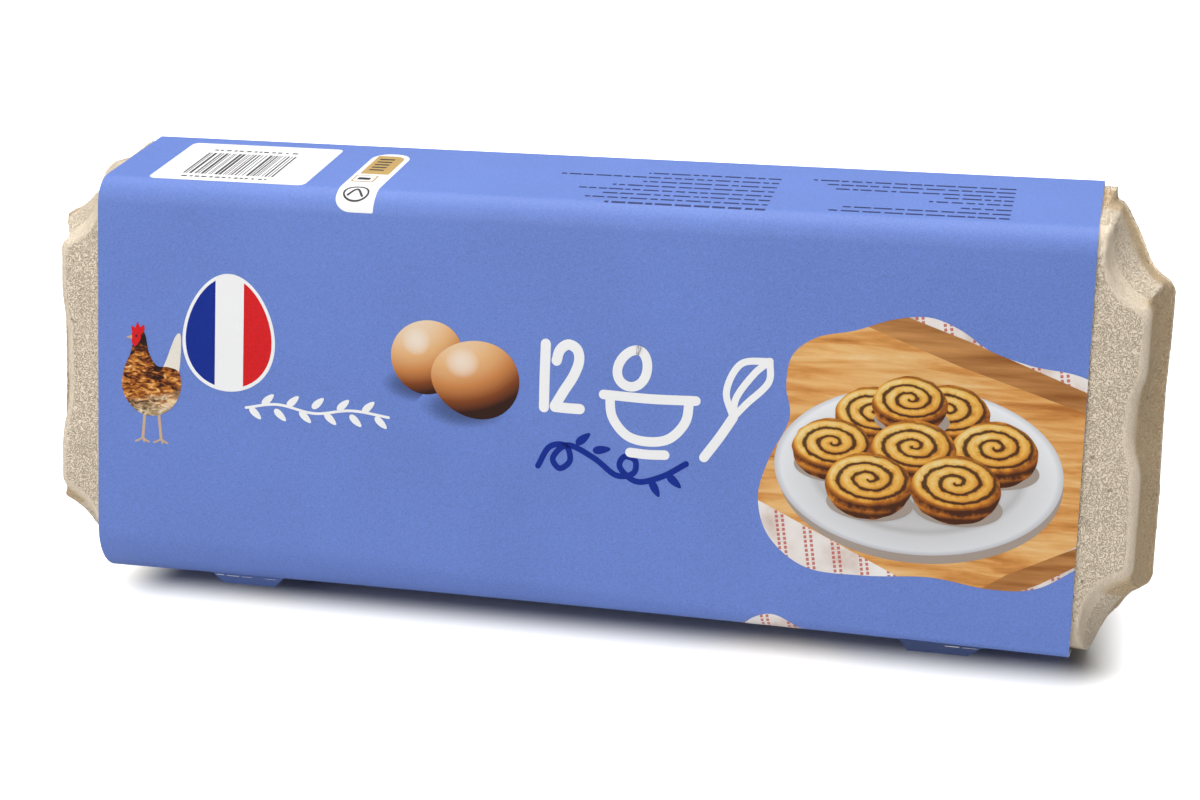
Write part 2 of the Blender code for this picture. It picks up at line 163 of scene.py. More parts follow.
# Where the two ends differ, as moulded: 1 is the right end, -1 the left
CREST_CUT = {1: 0.0, -1: 0.0015}
DIP_PLACE = {1: 0.0065, -1: 0.0015}
DIP_WIDTH = {1: 0.0095, -1: 0.0150}
DIP_DEPTH = {1: 0.0022, -1: 0.0018}
UPPER_STRETCH = {1: 0.0, -1: 0.0019}
LOWER_STRETCH = {1: 0.0, -1: 0.0006}
STRETCH_PLACE = 0.0360
STRETCH_WIDTH = 0.0130
STRETCH_FADE = (0.0430, 0.0515)
NOTCH_PLACE = 0.0355
NOTCH_WIDTH = 0.0031
NOTCH_WALL = 0.0085
NOTCH_RIM = 0.0034
KNOB_PLACE = -0.0545
KNOB_WIDTH = 0.0022
KNOB_REACH = 0.0022
KNOB_TOP = 0.2                      # the knob is only on the rings below this level
CORNER_BLEND = 0.122
DRAW_FADE = (0.040, 0.056)
FACE_LOSS = 0.55                    # share of the upper stretch that the lid's face loses

# Steps from each ring to the next; a count below zero asks for straight steps
LID_STEPS = (26, 6, 6, 14, 16, -8, 2, -3, 2)
BASE_STEPS = (2, -3, 2, -5, 20, 18, 18, 12, 9, 8)

# The lid's rings by number: the smooth crest, and the walls' painted shade
CREST_RINGS = (30, 42)
CREST_COARSE = 0.45                 # how coarse the pulp is there
SHADE_START = 36
SHADE_BLEND = 6
SHADE_STOP = 76
CORNER_DELAY = 16                   # how many rings later the painted shade starts in the corners
CORNER_HEIGHTS = (0.0345, 0.0385)   # half width where the corners begin

# Relief of the pulp
HIDDEN_DEPTH = 0.006                # how far inside the sleeve the relief still goes
LUMP_SIZE = 0.0042
GRAIN_SIZE = 0.0011
SWELL_SIZE = 0.016
SWELL_HEIGHT = 0.00035
FIBRE_HEIGHT = 0.00040
FIBRE_WARP = 0.0011                 # how far the fibres are bent
CURL_WIDTH = 0.075                  # width of the lines between them, in steps of the noise
FIBRE_TINT = (0.790, 0.735, 0.655)  # shade of those lines

# Camera, in the pack's own frame, with the lens of a 36 mm sensor
CAMERA_PLACE = (0.13437, -0.52164, 0.0900)
CAMERA_YAW = math.radians(13.98)
CAMERA_PITCH = math.radians(17.165)
CAMERA_LENS = 66.07

# Floor, lights and surroundings
FLOOR_SIDE = 12.0
SHADED_FLOOR = ((0.121, 0.005), (0.032, 0.020))     # half side and middle, along X and along Y
SHADED_FLOOR_BLEND = 0.023
SURROUND_LIGHT = 0.02               # how bright the surroundings are for all but the camera
LIGHTS = (                          # name, place, side and power in watts
    ("light_front", (-0.45, -1.35, 0.95), 1.3, 13.1),
    ("light_over", (0.0, 0.10, 1.6), 1.8, 33.2),
    ("light_back", (0.0, 1.60, 1.10), 2.0, 2.9),
)

MM = 0.001
TINY = 1e-6


def colour_setting(name, description, default):
    """Colour property."""
    return bpy.props.FloatVectorProperty(name=name, description=description, subtype="COLOR",
                                         size=3, default=default, min=0.0, max=1.0)


def length_setting(name, description, default, low, high):
    """Property for a small length in metres."""
    return bpy.props.FloatProperty(name=name, description=description, default=default,
                                   min=low, max=high, precision=5, unit="LENGTH")


class PackColours(bpy.types.PropertyGroup):
    """Colours of the print and of the pulp."""

    blue: colour_setting("Blue", "Ground colour of the print", (0.158, 0.252, 0.655))
    deep_blue: colour_setting("Deep blue", "Dark lines and the first band of the badge",
                              (0.000, 0.022, 0.290))
    red: colour_setting("Red", "Last band of the badge", (0.720, 0.008, 0.012))
    gold: colour_setting("Gold", "Field of the small label", (0.560, 0.370, 0.130))
    white: colour_setting("White", "White of the print and of the card's edge",
                          (0.960, 0.960, 0.960))
    pulp: colour_setting("Pulp", "Grey beige of the moulded pulp", (0.900, 0.772, 0.606))
    # Painted shade: the end walls' darker, warmer colour stands in for the shade that falls on them
    pulp_wall_shade: colour_setting("Pulp walls", "Darker and warmer pulp of the end walls",
                              (0.770, 0.590, 0.375))
    pulp_dark: colour_setting("Pulp specks", "Dark fibres and specks in the pulp",
                              (0.190, 0.140, 0.090))


class PackSizes(bpy.types.PropertyGroup):
    """Fine sizes of the look."""

    card_wave: length_setting("Card wave", "How far the card swells and sinks between its folds",
                              0.00012, 0.0, 0.0003)
    print_lift: length_setting("Print lift", "Distance of the print over the card",
                               0.00003, 0.00001, 0.0002)
    pulp_relief: length_setting("Pulp relief", "Height of the lumps of the pulp",
                                0.00016, 0.0, 0.0006)
    fibre_size: length_setting("Fibre size", "Distance from one fibre curl to the next",
                               0.00055, 0.0002, 0.004)
    speck_share: bpy.props.FloatProperty(
        name="Specks", description="Share of the pulp that dark specks cover",
        default=0.07, min=0.0, max=1.0, subtype="FACTOR")


def smoothstep(low, high, value):
    """Smooth blend from 0 at low to 1 at high, for numbers and arrays."""
    t = np.clip((np.asarray(value, float) - low) / (high - low), 0.0, 1.0)
    return t * t * (3.0 - 2.0 * t)


# The sleeve's surface

def lower_radius(x):
    """Radius of the lower front bend, which is round at the left and sharp at the right."""
    blend = smoothstep(0.0, 1.0, x / SLEEVE_LENGTH + 0.5)
    return LOWER_BEND_LEFT + (LOWER_BEND_RIGHT - LOWER_BEND_LEFT) * blend


def fold_bow(x):
    """How far the lower front bend is drawn up at one X."""
    return FOLD_BOW * (1.0 - (2.0 * x / SLEEVE_LENGTH) ** 2)


def card_wave(x, s):
    """Slight swell of the card over the flat of the front, out from its plane."""
    height = bpy.context.scene.pack_sizes.card_wave
    inside = smoothstep(0.0, WAVE_FADE_X, SLEEVE_LENGTH / 2 - abs(x) + WAVE_EDGE)
    inside = inside * smoothstep(0.0, WAVE_FADE_S, WAVE_HALF_WIDTH - abs(s))
    swell = math.sin(x * 39.0 + s * 31.0 + 0.7) + 0.6 * math.sin(x * 83.0 - s * 57.0 + 2.1)
    return height * float(inside) * swell


def card_point(x, s, lift=0.0):
    """Point of the sleeve in the pack's frame: s runs up the front from its middle, over a bend."""
    up = s >= 0.0
    radius = FRONT_BEND_RADIUS if up else float(lower_radius(x))
    bow = 0.0 if up else fold_bow(x)
    half = FRONT_WIDTH / 2 - bow
    slope = SIDE_SLOPE if up else math.atan2(FLARE - LOWER_DRAW + bow, LID_SIDE_DEPTH)
    turn = math.pi / 2 - slope
    trim = radius * math.tan(turn / 2)
    flat = half - trim
    along = abs(s)
    if along <= flat:
        depth, height, angle = 0.0, along, 0.0
    elif along <= flat + radius * turn:
        angle = (along - flat) / radius
        depth = radius * (1 - math.cos(angle))
        height = flat + radius * math.sin(angle)
    else:
        angle = turn
        rest = along - flat - radius * turn
        depth = radius * (1 - math.cos(turn)) + rest * math.cos(slope)
        height = flat + radius * math.sin(turn) + rest * math.sin(slope)
    out = lift + card_wave(x, s)
    depth -= out * math.cos(angle)
    height += out * math.sin(angle)
    return (x, depth, height if up else -height)


def bend_arc(before, corner, after, radius, steps):
    """Rounded corner of the section: points with outward normals."""
    into = (corner - before).normalized()
    out = (after - corner).normalized()
    turn = into.angle(out)
    normal = Vector((-into.y, into.x))
    centre = corner - into * radius * math.tan(turn / 2) - normal * radius
    found = []
    for step in range(steps + 1):
        arm = Matrix.Rotation(-turn * step / steps, 2) @ normal
        found.append((centre + arm * radius, arm))
    return found


def sleeve_corners(x):
    """Sharp corners of the section at one X with their radii, clockwise from the upper front."""
    back = LID_SIDE_DEPTH + BASE_SIDE_DEPTH
    widest = FRONT_WIDTH / 2 + FLARE
    half_back = widest - BASE_SIDE_DEPTH * math.tan(LEAN)
    return [
        (Vector((0.0, FRONT_WIDTH / 2)), FRONT_BEND_RADIUS),
        (Vector((LID_SIDE_DEPTH, widest)), FOLD_RADIUS),
        (Vector((back, half_back)), FOLD_RADIUS),
        (Vector((back, LOWER_DRAW - half_back)), FOLD_RADIUS),
        (Vector((LID_SIDE_DEPTH, LOWER_DRAW - widest)), FOLD_RADIUS),
        (Vector((0.0, -FRONT_WIDTH / 2 + fold_bow(x))), float(lower_radius(x))),
    ]


def sleeve_section(x, arc_steps=14, panel_steps=10):
    """Outer outline of the sleeve at one X: bends and the panels between them."""
    corners = sleeve_corners(x)
    count = len(corners)
    outline = []
    for index, (corner, radius) in enumerate(corners):
        before = corners[index - 1][0]
        after = corners[(index + 1) % count][0]
        outline += bend_arc(before, corner, after, radius, arc_steps)
        following, next_radius = corners[(index + 1) % count]
        beyond = corners[(index + 2) % count][0]
        start, normal = outline[-1]
        end = bend_arc(corner, following, beyond, next_radius, 1)[0][0]
        for step in range(1, panel_steps):
            outline.append((start.lerp(end, step / panel_steps), normal))
    return outline


def pack_matrix():
    """Place of the pack's frame: tipped back by LEAN, and set where the CAD sleeve stands."""
    tilt = Matrix.Rotation(-LEAN, 4, "X")
    places = [tilt @ Vector((x, *place)) for x in (-SLEEVE_LENGTH / 2, SLEEVE_LENGTH / 2)
              for place, _ in sleeve_section(x, 5, 2)]
    shift_y = sleeve_high.y - max(place.y for place in places)
    shift_z = sleeve_low.z - min(place.z for place in places)
    return Matrix.Translation((0.0, shift_y, shift_z)) @ tilt


# Meshes

def add_object(name, data):
    """Object in the scene."""
    item = bpy.data.objects.new(name, data)
    bpy.context.scene.collection.objects.link(item)
    return item


def add_piece(name, mesh, nodes=()):
    """Piece from a mesh in the pack's frame, placed, and riding on the one body."""
    mesh.transform(pack_matrix())
    item = add_object(name, mesh)
    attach(item, "root")
    if nodes:
        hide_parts(*nodes)


def mesh_from(name, points, faces, materials, face_materials=None, smooth=True, sharp=40):
    """Mesh of points and faces with its materials."""
    mesh = bpy.data.meshes.new(name)
    mesh.from_pydata([tuple(point) for point in points], [], faces)
    for material in materials:
        mesh.materials.append(material)
    if face_materials is not None:
        mesh.polygons.foreach_set("material_index", face_materials)
    if smooth:
        mesh.shade_smooth()
        mesh.set_sharp_from_angle(angle=math.radians(sharp))
    mesh.update()
    return mesh


def face_outwards(mesh):
    """Turn the faces of a closed mesh outwards."""
    work = bmesh.new()
    work.from_mesh(mesh)
    bmesh.ops.recalc_face_normals(work, faces=work.faces)
    work.to_mesh(mesh)
    work.free()


# Shader building

class Value:
    """Number in a node tree; a sum with it makes a Math node."""

    def __init__(self, nodes, socket):
        self.nodes = nodes
        self.socket = socket

    def to(self, operation, *others):
        """Result of one sum that starts with this number."""
        return self.nodes.sum(operation, self, *others)

    def __add__(self, other):
        return self.to("ADD", other)

    def __sub__(self, other):
        return self.to("SUBTRACT", other)

    def __rsub__(self, other):
        return self.nodes.sum("SUBTRACT", other, self)

    def __mul__(self, other):
        return self.to("MULTIPLY", other)

    def __lt__(self, other):
        return self.to("LESS_THAN", other)

    def __abs__(self):
        return self.to("ABSOLUTE")


class Nodes:
    """Node tree with short ways to add to it."""

    def __init__(self, tree):
        self.tree = tree

    def add(self, kind, inputs=None, **settings):
        """Shader node with its settings, and with its inputs as values or links."""
        made = self.tree.nodes.new("ShaderNode" + kind)
        for key, value in settings.items():
            setattr(made, key, value)
        for key, value in (inputs or {}).items():
            self.fill(made.inputs[key], value)
        return made

    def fill(self, socket, value):
        """Give one input its link, its colour or its number."""
        if isinstance(value, Value):
            value = value.socket
        if isinstance(value, bpy.types.NodeSocket):
            self.tree.links.new(value, socket)
        elif socket.type == "RGBA":
            socket.default_value = (*value, 1.0)
        else:
            socket.default_value = value

    def sum(self, operation, *terms):
        """Result of one sum."""
        return Value(self, self.add("Math", dict(enumerate(terms)), operation=operation).outputs[0])

    def place(self):
        """Place on the piece, in metres."""
        return self.add("TexCoord").outputs["Object"]

    def parts(self, vector):
        """The three numbers of a vector."""
        return [Value(self, part) for part in self.add("SeparateXYZ", {0: vector}).outputs]

    def local(self):
        """Place inside one printed shape, from -1 to 1 each way: right, and up."""
        return self.parts(self.add("UVMap", uv_map="shape").outputs[0])[:2]

    def turned(self, degrees, stretch=(1.0, 1.0, 1.0)):
        """Place on the piece, turned in the plane of the front and stretched."""
        return self.add("Mapping", {"Vector": self.place(), "Scale": stretch,
                                    "Rotation": (0.0, math.radians(degrees), 0.0)}).outputs[0]

    def noise(self, scale, place=None, **inputs):
        """Cloudy pattern."""
        inputs = {"Vector": place or self.place(), "Scale": scale, **inputs}
        return Value(self, self.add("TexNoise", inputs).outputs["Fac"])

    def span(self, value, low, high, start=0.0, end=1.0, kind="LINEAR"):
        """A number's way from low to high, as a way from start to end."""
        made = self.add("MapRange", {"Value": value, "From Min": low, "From Max": high,
                                     "To Min": start, "To Max": end}, interpolation_type=kind)
        return Value(self, made.outputs[0])

    def ramp(self, value, stops):
        """Colour or grey read from a ramp of (place, colour) stops."""
        made = self.add("ValToRGB", {"Fac": value})
        elements = made.color_ramp.elements
        while len(elements) < len(stops):
            elements.new(0.5)
        for element, (place, colour) in zip(elements, stops):
            element.position = place
            element.color = (*(colour if isinstance(colour, tuple) else (colour,) * 3), 1.0)
        return made.outputs["Color"]

    def mix(self, factor, first, second, blend="MIX"):
        """Mix of two colours."""
        return self.add("Mix", {0: factor, 6: first, 7: second},
                        data_type="RGBA", blend_type=blend).outputs[2]

    def shaded(self, colour, brightness):
        """Colour times a brightness."""
        grey = self.add("CombineColor", {0: brightness, 1: brightness, 2: brightness}).outputs[0]
        return self.mix(1.0, colour, grey, "MULTIPLY")

    def effect(self, build, defaults, outputs, values):
        """One use of a node group, which is made at its first use and named after its function."""
        group = bpy.data.node_groups.get(build.__name__)
        if not group:
            group = bpy.data.node_groups.new(build.__name__, "ShaderNodeTree")
            inside = Nodes(group)
            for label, default in defaults.items():
                group.interface.new_socket(
                    label, in_out="INPUT", socket_type="NodeSocketFloat").default_value = default
            for label in outputs:
                group.interface.new_socket(label, in_out="OUTPUT", socket_type="NodeSocketFloat")
            source = group.nodes.new("NodeGroupInput").outputs
            sink = group.nodes.new("NodeGroupOutput").inputs
            found = build(inside, *(Value(inside, source[label]) for label in defaults))
            for label, value in zip(outputs, found):
                inside.fill(sink[label], value)
        made = self.tree.nodes.new("ShaderNodeGroup")
        made.node_tree = group
        for label, value in values.items():
            self.fill(made.inputs[label], value)
        return [Value(self, made.outputs[label]) for label in outputs]


class Finish(Nodes):
    """New material with its Principled shader."""

    def __init__(self, name):
        self.material = bpy.data.materials.new(name)
        self.material.use_nodes = True
        super().__init__(self.material.node_tree)
        self.shader = self.tree.nodes["Principled BSDF"]

    def set(self, inputs):
        """Give the shader its inputs, and return the material."""
        for label, value in inputs.items():
            self.fill(self.shader.inputs[label], value)
        return self.material

    def bump(self, strength, distance, height):
        """Surface that rises with a height."""
        return self.add("Bump", {"Strength": strength, "Distance": distance,
                                 "Height": height}).outputs[0]

    def printed(self, colour, cloud=0.20, grain=0.85, roughness=0.42, tooth=0.00003, coat=0.04):
        """Satin printed card: colour with cloud and grain, a soft varnish and a faint tooth."""
        shade, height = self.effect(
            card_grain, {"Dot size": 0.0004, "Cloud": 0.1, "Grain": 0.16}, ("Shade", "Height"),
            {"Cloud": cloud, "Grain": grain})
        return self.set({
            "Base Color": self.shaded(colour, shade),
            "Roughness": height * 0.10 + (roughness - 0.05),
            "Normal": self.bump(0.5, tooth, height),
            "Specular IOR Level": 0.22, "Coat Weight": coat, "Coat Roughness": 0.25})


def card_grain(nodes, dot_size, cloud_share, grain_share):
    """Print screen and cloudy ink of a printed card: brightness, and height of the screen."""
    place = nodes.place()
    cloud = nodes.noise(26.0, place, Detail=3.0)
    screen = nodes.noise(nodes.sum("DIVIDE", 1.0, dot_size), place, Detail=4.0, Roughness=0.7)
    return (cloud - 0.5) * cloud_share + 1.0 + (screen - 0.5) * grain_share, screen


def pulp_fibre(nodes, fibre_size, speck_share):
    """Curled fibres, specks and pits of moulded pulp: height, curls, grain, clouds and specks."""
    place = nodes.place()
    warp = nodes.add("TexNoise", {"Vector": place, "Scale": 620.0, "Detail": 1.0}).outputs["Color"]
    bent = nodes.add("VectorMath", {0: warp, 1: (FIBRE_WARP,) * 3}, operation="MULTIPLY").outputs[0]
    moved = nodes.add("VectorMath", {0: place, 1: bent}, operation="ADD").outputs[0]
    field = nodes.noise(nodes.sum("DIVIDE", 1.0, fibre_size), moved, Detail=1.0, Roughness=0.40)
    curl = nodes.span(abs(field - 0.5), 0.0, CURL_WIDTH, kind="SMOOTHSTEP")
    fine = nodes.noise(2600.0, place, Detail=3.0)
    cloud = nodes.noise(70.0, place, Detail=4.0)
    cells = nodes.add("TexVoronoi", {"Vector": moved, "Scale": 420.0, "Randomness": 1.0}).outputs
    chance = Value(nodes, nodes.add("SeparateColor", {0: cells["Color"]}).outputs[0])
    speck = nodes.span(cells["Distance"], 0.10, 0.24, 1.0, 0.0) * (chance < speck_share)
    return curl * 0.75 + fine * 0.25 - speck * 0.55, curl, fine, cloud, speck


def plain_print(name, colour, **finish):
    """Material of one flat print colour, made once."""
    return bpy.data.materials.get(name) or Finish(name).printed(tuple(colour), **finish)


# Print materials

def egg_print(name, tan):
    """Brown egg as printed: lit from the upper left, dark along the lower right."""
    made = Finish(name)
    right, up = made.local()
    value = up * 0.40 - right * 0.16 + (0.60 - tan) - (right * right + up * up) * 0.16
    colour = made.ramp(value, (
        (0.08, (0.030, 0.006, 0.002)), (0.26, (0.230, 0.055, 0.010)),
        (0.46, (0.620, 0.235, 0.065)), (0.66, (0.830, 0.480, 0.215)),
        (0.86, (0.900, 0.700, 0.490))))
    across, above = right + 0.30, up - 0.42
    glow = made.span(across * across + above * above, 0.0, 0.16, 0.65, 0.0)
    return made.printed(made.mix(glow, colour, (0.95, 0.88, 0.80)), cloud=0.10, grain=0.14)


def roll_print():
    """Golden rolled bake seen from above: a dark spiral, crumb and browned sides."""
    made = Finish("print_roll")
    right, up = made.local()
    rough = made.noise(420.0, Detail=5.0, Roughness=0.65) - 0.5
    top = (up - 0.22) * 1.30
    radius = (right * right + top * top).to("SQRT")
    turns = top.to("ARCTAN2", right).to("DIVIDE", 2 * math.pi)
    groove = abs((radius * 2.9 - turns + rough * 0.55).to("FRACT") - 0.5)
    side = made.span(radius, 0.86, 0.98)
    line = made.span(groove, 0.10, 0.21, 1.0, 0.0) * (1.0 - side)
    value = up * 0.16 + groove * 0.55 - right * 0.10 + 0.42 + rough * 0.60 - side * 0.30
    colour = made.ramp(value, (
        (0.08, (0.070, 0.018, 0.004)), (0.26, (0.370, 0.105, 0.012)),
        (0.46, (0.720, 0.285, 0.032)), (0.66, (0.870, 0.490, 0.095)),
        (0.88, (0.910, 0.700, 0.300))))
    colour = made.mix(line * 0.92, colour, (0.045, 0.014, 0.008))
    return made.printed(colour, cloud=0.06, grain=0.10)


def wood_print(name, degrees, stretch, scale, cloud, stops, **pattern):
    """Wood with long grain, which runs at an angle."""
    made = Finish(name)
    grain = made.noise(scale, made.turned(degrees, stretch), **pattern)
    return made.printed(made.ramp(grain, stops), cloud=cloud, grain=0.10)


def cloth_print():
    """Off-white cloth with pairs of dotted red stripes."""
    made = Finish("print_cloth")
    across, _, along = made.parts(made.turned(9))
    across = (across * 155.0).to("FRACT")
    stripes = (abs(across - 0.30) < 0.055) + (abs(across - 0.52) < 0.055)
    stitches = (along * 900.0).to("FRACT") < 0.68
    ground = made.ramp(made.noise(90.0, Detail=4.0), (
        (0.30, (0.620, 0.470, 0.400)), (0.46, (0.850, 0.770, 0.720)),
        (0.65, (0.930, 0.900, 0.870))))
    colour = made.mix(stripes * stitches * 0.85, ground, (0.560, 0.090, 0.060))
    return made.printed(colour, cloud=0.08, grain=0.10)


def plate_print():
    """White plate: brighter on its rim, shaded in its well."""
    made = Finish("print_plate")
    right, up = made.local()
    tint = made.ramp((right * right + up * up).to("SQRT"), (
        (0.00, (0.50, 0.48, 0.47)), (0.66, (0.66, 0.65, 0.65)), (0.72, (0.56, 0.55, 0.55)),
        (0.78, (0.74, 0.74, 0.75)), (0.95, (0.83, 0.84, 0.86)), (1.00, (0.60, 0.60, 0.63))))
    return made.printed(made.shaded(tint, up * 0.10 + 1.0), cloud=0.05, grain=0.06)


def plumage_print():
    """Hen feathers: dark chestnut neck, mottled orange back and a pale belly."""
    made = Finish("print_plumage")
    right, up = made.local()
    feather = made.noise(460.0, made.turned(62, (1.0, 1.0, 2.2)),
                         Detail=4.0, Roughness=0.60, Distortion=0.8) - 0.5
    patch = made.noise(190.0, Detail=3.0) - 0.5
    neck = made.span(up, 0.05, 0.75)
    value = feather * 2.3 + patch * 1.3 + 0.50 - neck * 0.34
    belly = made.span(up - right * 0.20 + patch * 0.9, -0.50, -0.85)
    colour = made.mix(belly, made.ramp(value, (
        (0.10, (0.014, 0.003, 0.001)), (0.32, (0.125, 0.026, 0.004)),
        (0.55, (0.460, 0.130, 0.014)), (0.76, (0.780, 0.350, 0.065)),
        (0.95, (0.920, 0.680, 0.350)))), made.ramp(value, (
            (0.10, (0.090, 0.050, 0.022)), (0.45, (0.480, 0.330, 0.170)),
            (0.80, (0.840, 0.720, 0.540)))))
    return made.printed(colour, cloud=0.10, grain=0.10)


def shadow_print(blue):
    """Soft shadow printed on the blue ground: darkest in its middle, blue at its edge."""
    made = Finish("print_shadow")
    right, up = made.local()
    depth = made.span(right * right + up * up, 0.05, 0.95, 1.0, 0.0, "SMOOTHSTEP")
    return made.printed(made.mix(depth, tuple(blue), tuple(channel * 0.42 for channel in blue)))


# Flat shapes in the sleeve's (x, s) coordinates

def curve_through(points, steps):
    """Smooth curve from the second point up to the last but one, which it leaves out."""
    found = []
    for p0, p1, p2, p3 in zip(points, points[1:], points[2:], points[3:]):
        for t in (step / steps for step in range(steps)):
            found.append(0.5 * (2 * p1 + (p2 - p0) * t + (2 * p0 - 5 * p1 + 4 * p2 - p3) * t * t
                                + (3 * p1 - p0 - 3 * p2 + p3) * t ** 3))
    return [tuple(point) for point in found]


def smooth_loop(points, steps=8):
    """Closed smooth outline through the points."""
    points = np.array(points, float)
    return curve_through([points[-1], *points, *points[:2]], steps)


def smooth_path(points, steps=10):
    """Open smooth line through the points."""
    points = np.array(points, float)
    first = 2 * points[0] - points[1]
    last = 2 * points[-1] - points[-2]
    return curve_through([first, *points, last], steps) + [tuple(points[-1])]


def ellipse(centre, radii, steps=64, tilt=0.0, egg=0.0):
    """Ellipse or egg outline; egg narrows the end that tilt points at."""
    found = []
    for step in range(steps):
        angle = 2 * math.pi * step / steps
        across = radii[1] * math.sin(angle) * (1.0 - egg * math.cos(angle))
        along = radii[0] * math.cos(angle)
        found.append((centre[0] + along * math.cos(tilt) - across * math.sin(tilt),
                      centre[1] + along * math.sin(tilt) + across * math.cos(tilt)))
    return found


def top_s(along):
    """s of a place on the upper side panel, given from the sharp front corner."""
    turn = math.pi / 2 - SIDE_SLOPE
    trim = FRONT_BEND_RADIUS * math.tan(turn / 2)
    return FRONT_WIDTH / 2 - 2 * trim + FRONT_BEND_RADIUS * turn + along


def top_bar(left, right, low, high):
    """Rectangle on the upper side panel."""
    low, high = top_s(low), top_s(high)
    return [(left, low), (right, low), (right, high), (left, high)]


def top_box(left, right, low, high, radii, steps=8):
    """The same with rounded corners: radii run from the lower left, anticlockwise."""
    found = []
    corners = zip(top_bar(left, right, low, high), ((1, 1), (-1, 1), (-1, -1), (1, -1)), radii)
    for number, ((x, s), sign, radius) in enumerate(corners):
        centre_x, centre_s = x + radius * sign[0], s + radius * sign[1]
        for step in range(steps + 1):
            angle = math.pi * (1 + number / 2 + step / steps / 2)
            found.append((centre_x + radius * math.cos(angle), centre_s + radius * math.sin(angle)))
    return found


def scaled(points, shift=0.0):
    """Points written in millimetres, as metres on the sleeve, moved along X."""
    return [(x * MM + shift, s * MM) for x, s in points]


def clip_inside(polygon, outline):
    """Part of an outline that lies inside a convex polygon; both are in metres."""
    area = sum(a[0] * b[1] - b[0] * a[1] for a, b in zip(polygon, polygon[1:] + polygon[:1]))
    if area < 0:
        polygon = polygon[::-1]
    subject = list(outline)
    for start, end in zip(polygon, polygon[1:] + polygon[:1]):
        edge = (end[0] - start[0], end[1] - start[1])
        sides = [edge[0] * (s - start[1]) - edge[1] * (x - start[0]) for x, s in subject]
        clipped = []
        for index, first in enumerate(subject):
            after = (index + 1) % len(subject)
            if sides[index] >= 0:
                clipped.append(first)
            if (sides[index] >= 0) != (sides[after] >= 0):
                t = sides[index] / (sides[index] - sides[after])
                second = subject[after]
                clipped.append((first[0] + (second[0] - first[0]) * t,
                                first[1] + (second[1] - first[1]) * t))
        subject = clipped
    return subject


def cut(work, place, normal, clear=False):
    """Cut a flat mesh along a plane, and clear what lies beyond it if asked."""
    bmesh.ops.bisect_plane(
        work, geom=work.verts[:] + work.edges[:] + work.faces[:], dist=1e-7,
        plane_co=place, plane_no=normal, clear_outer=clear)


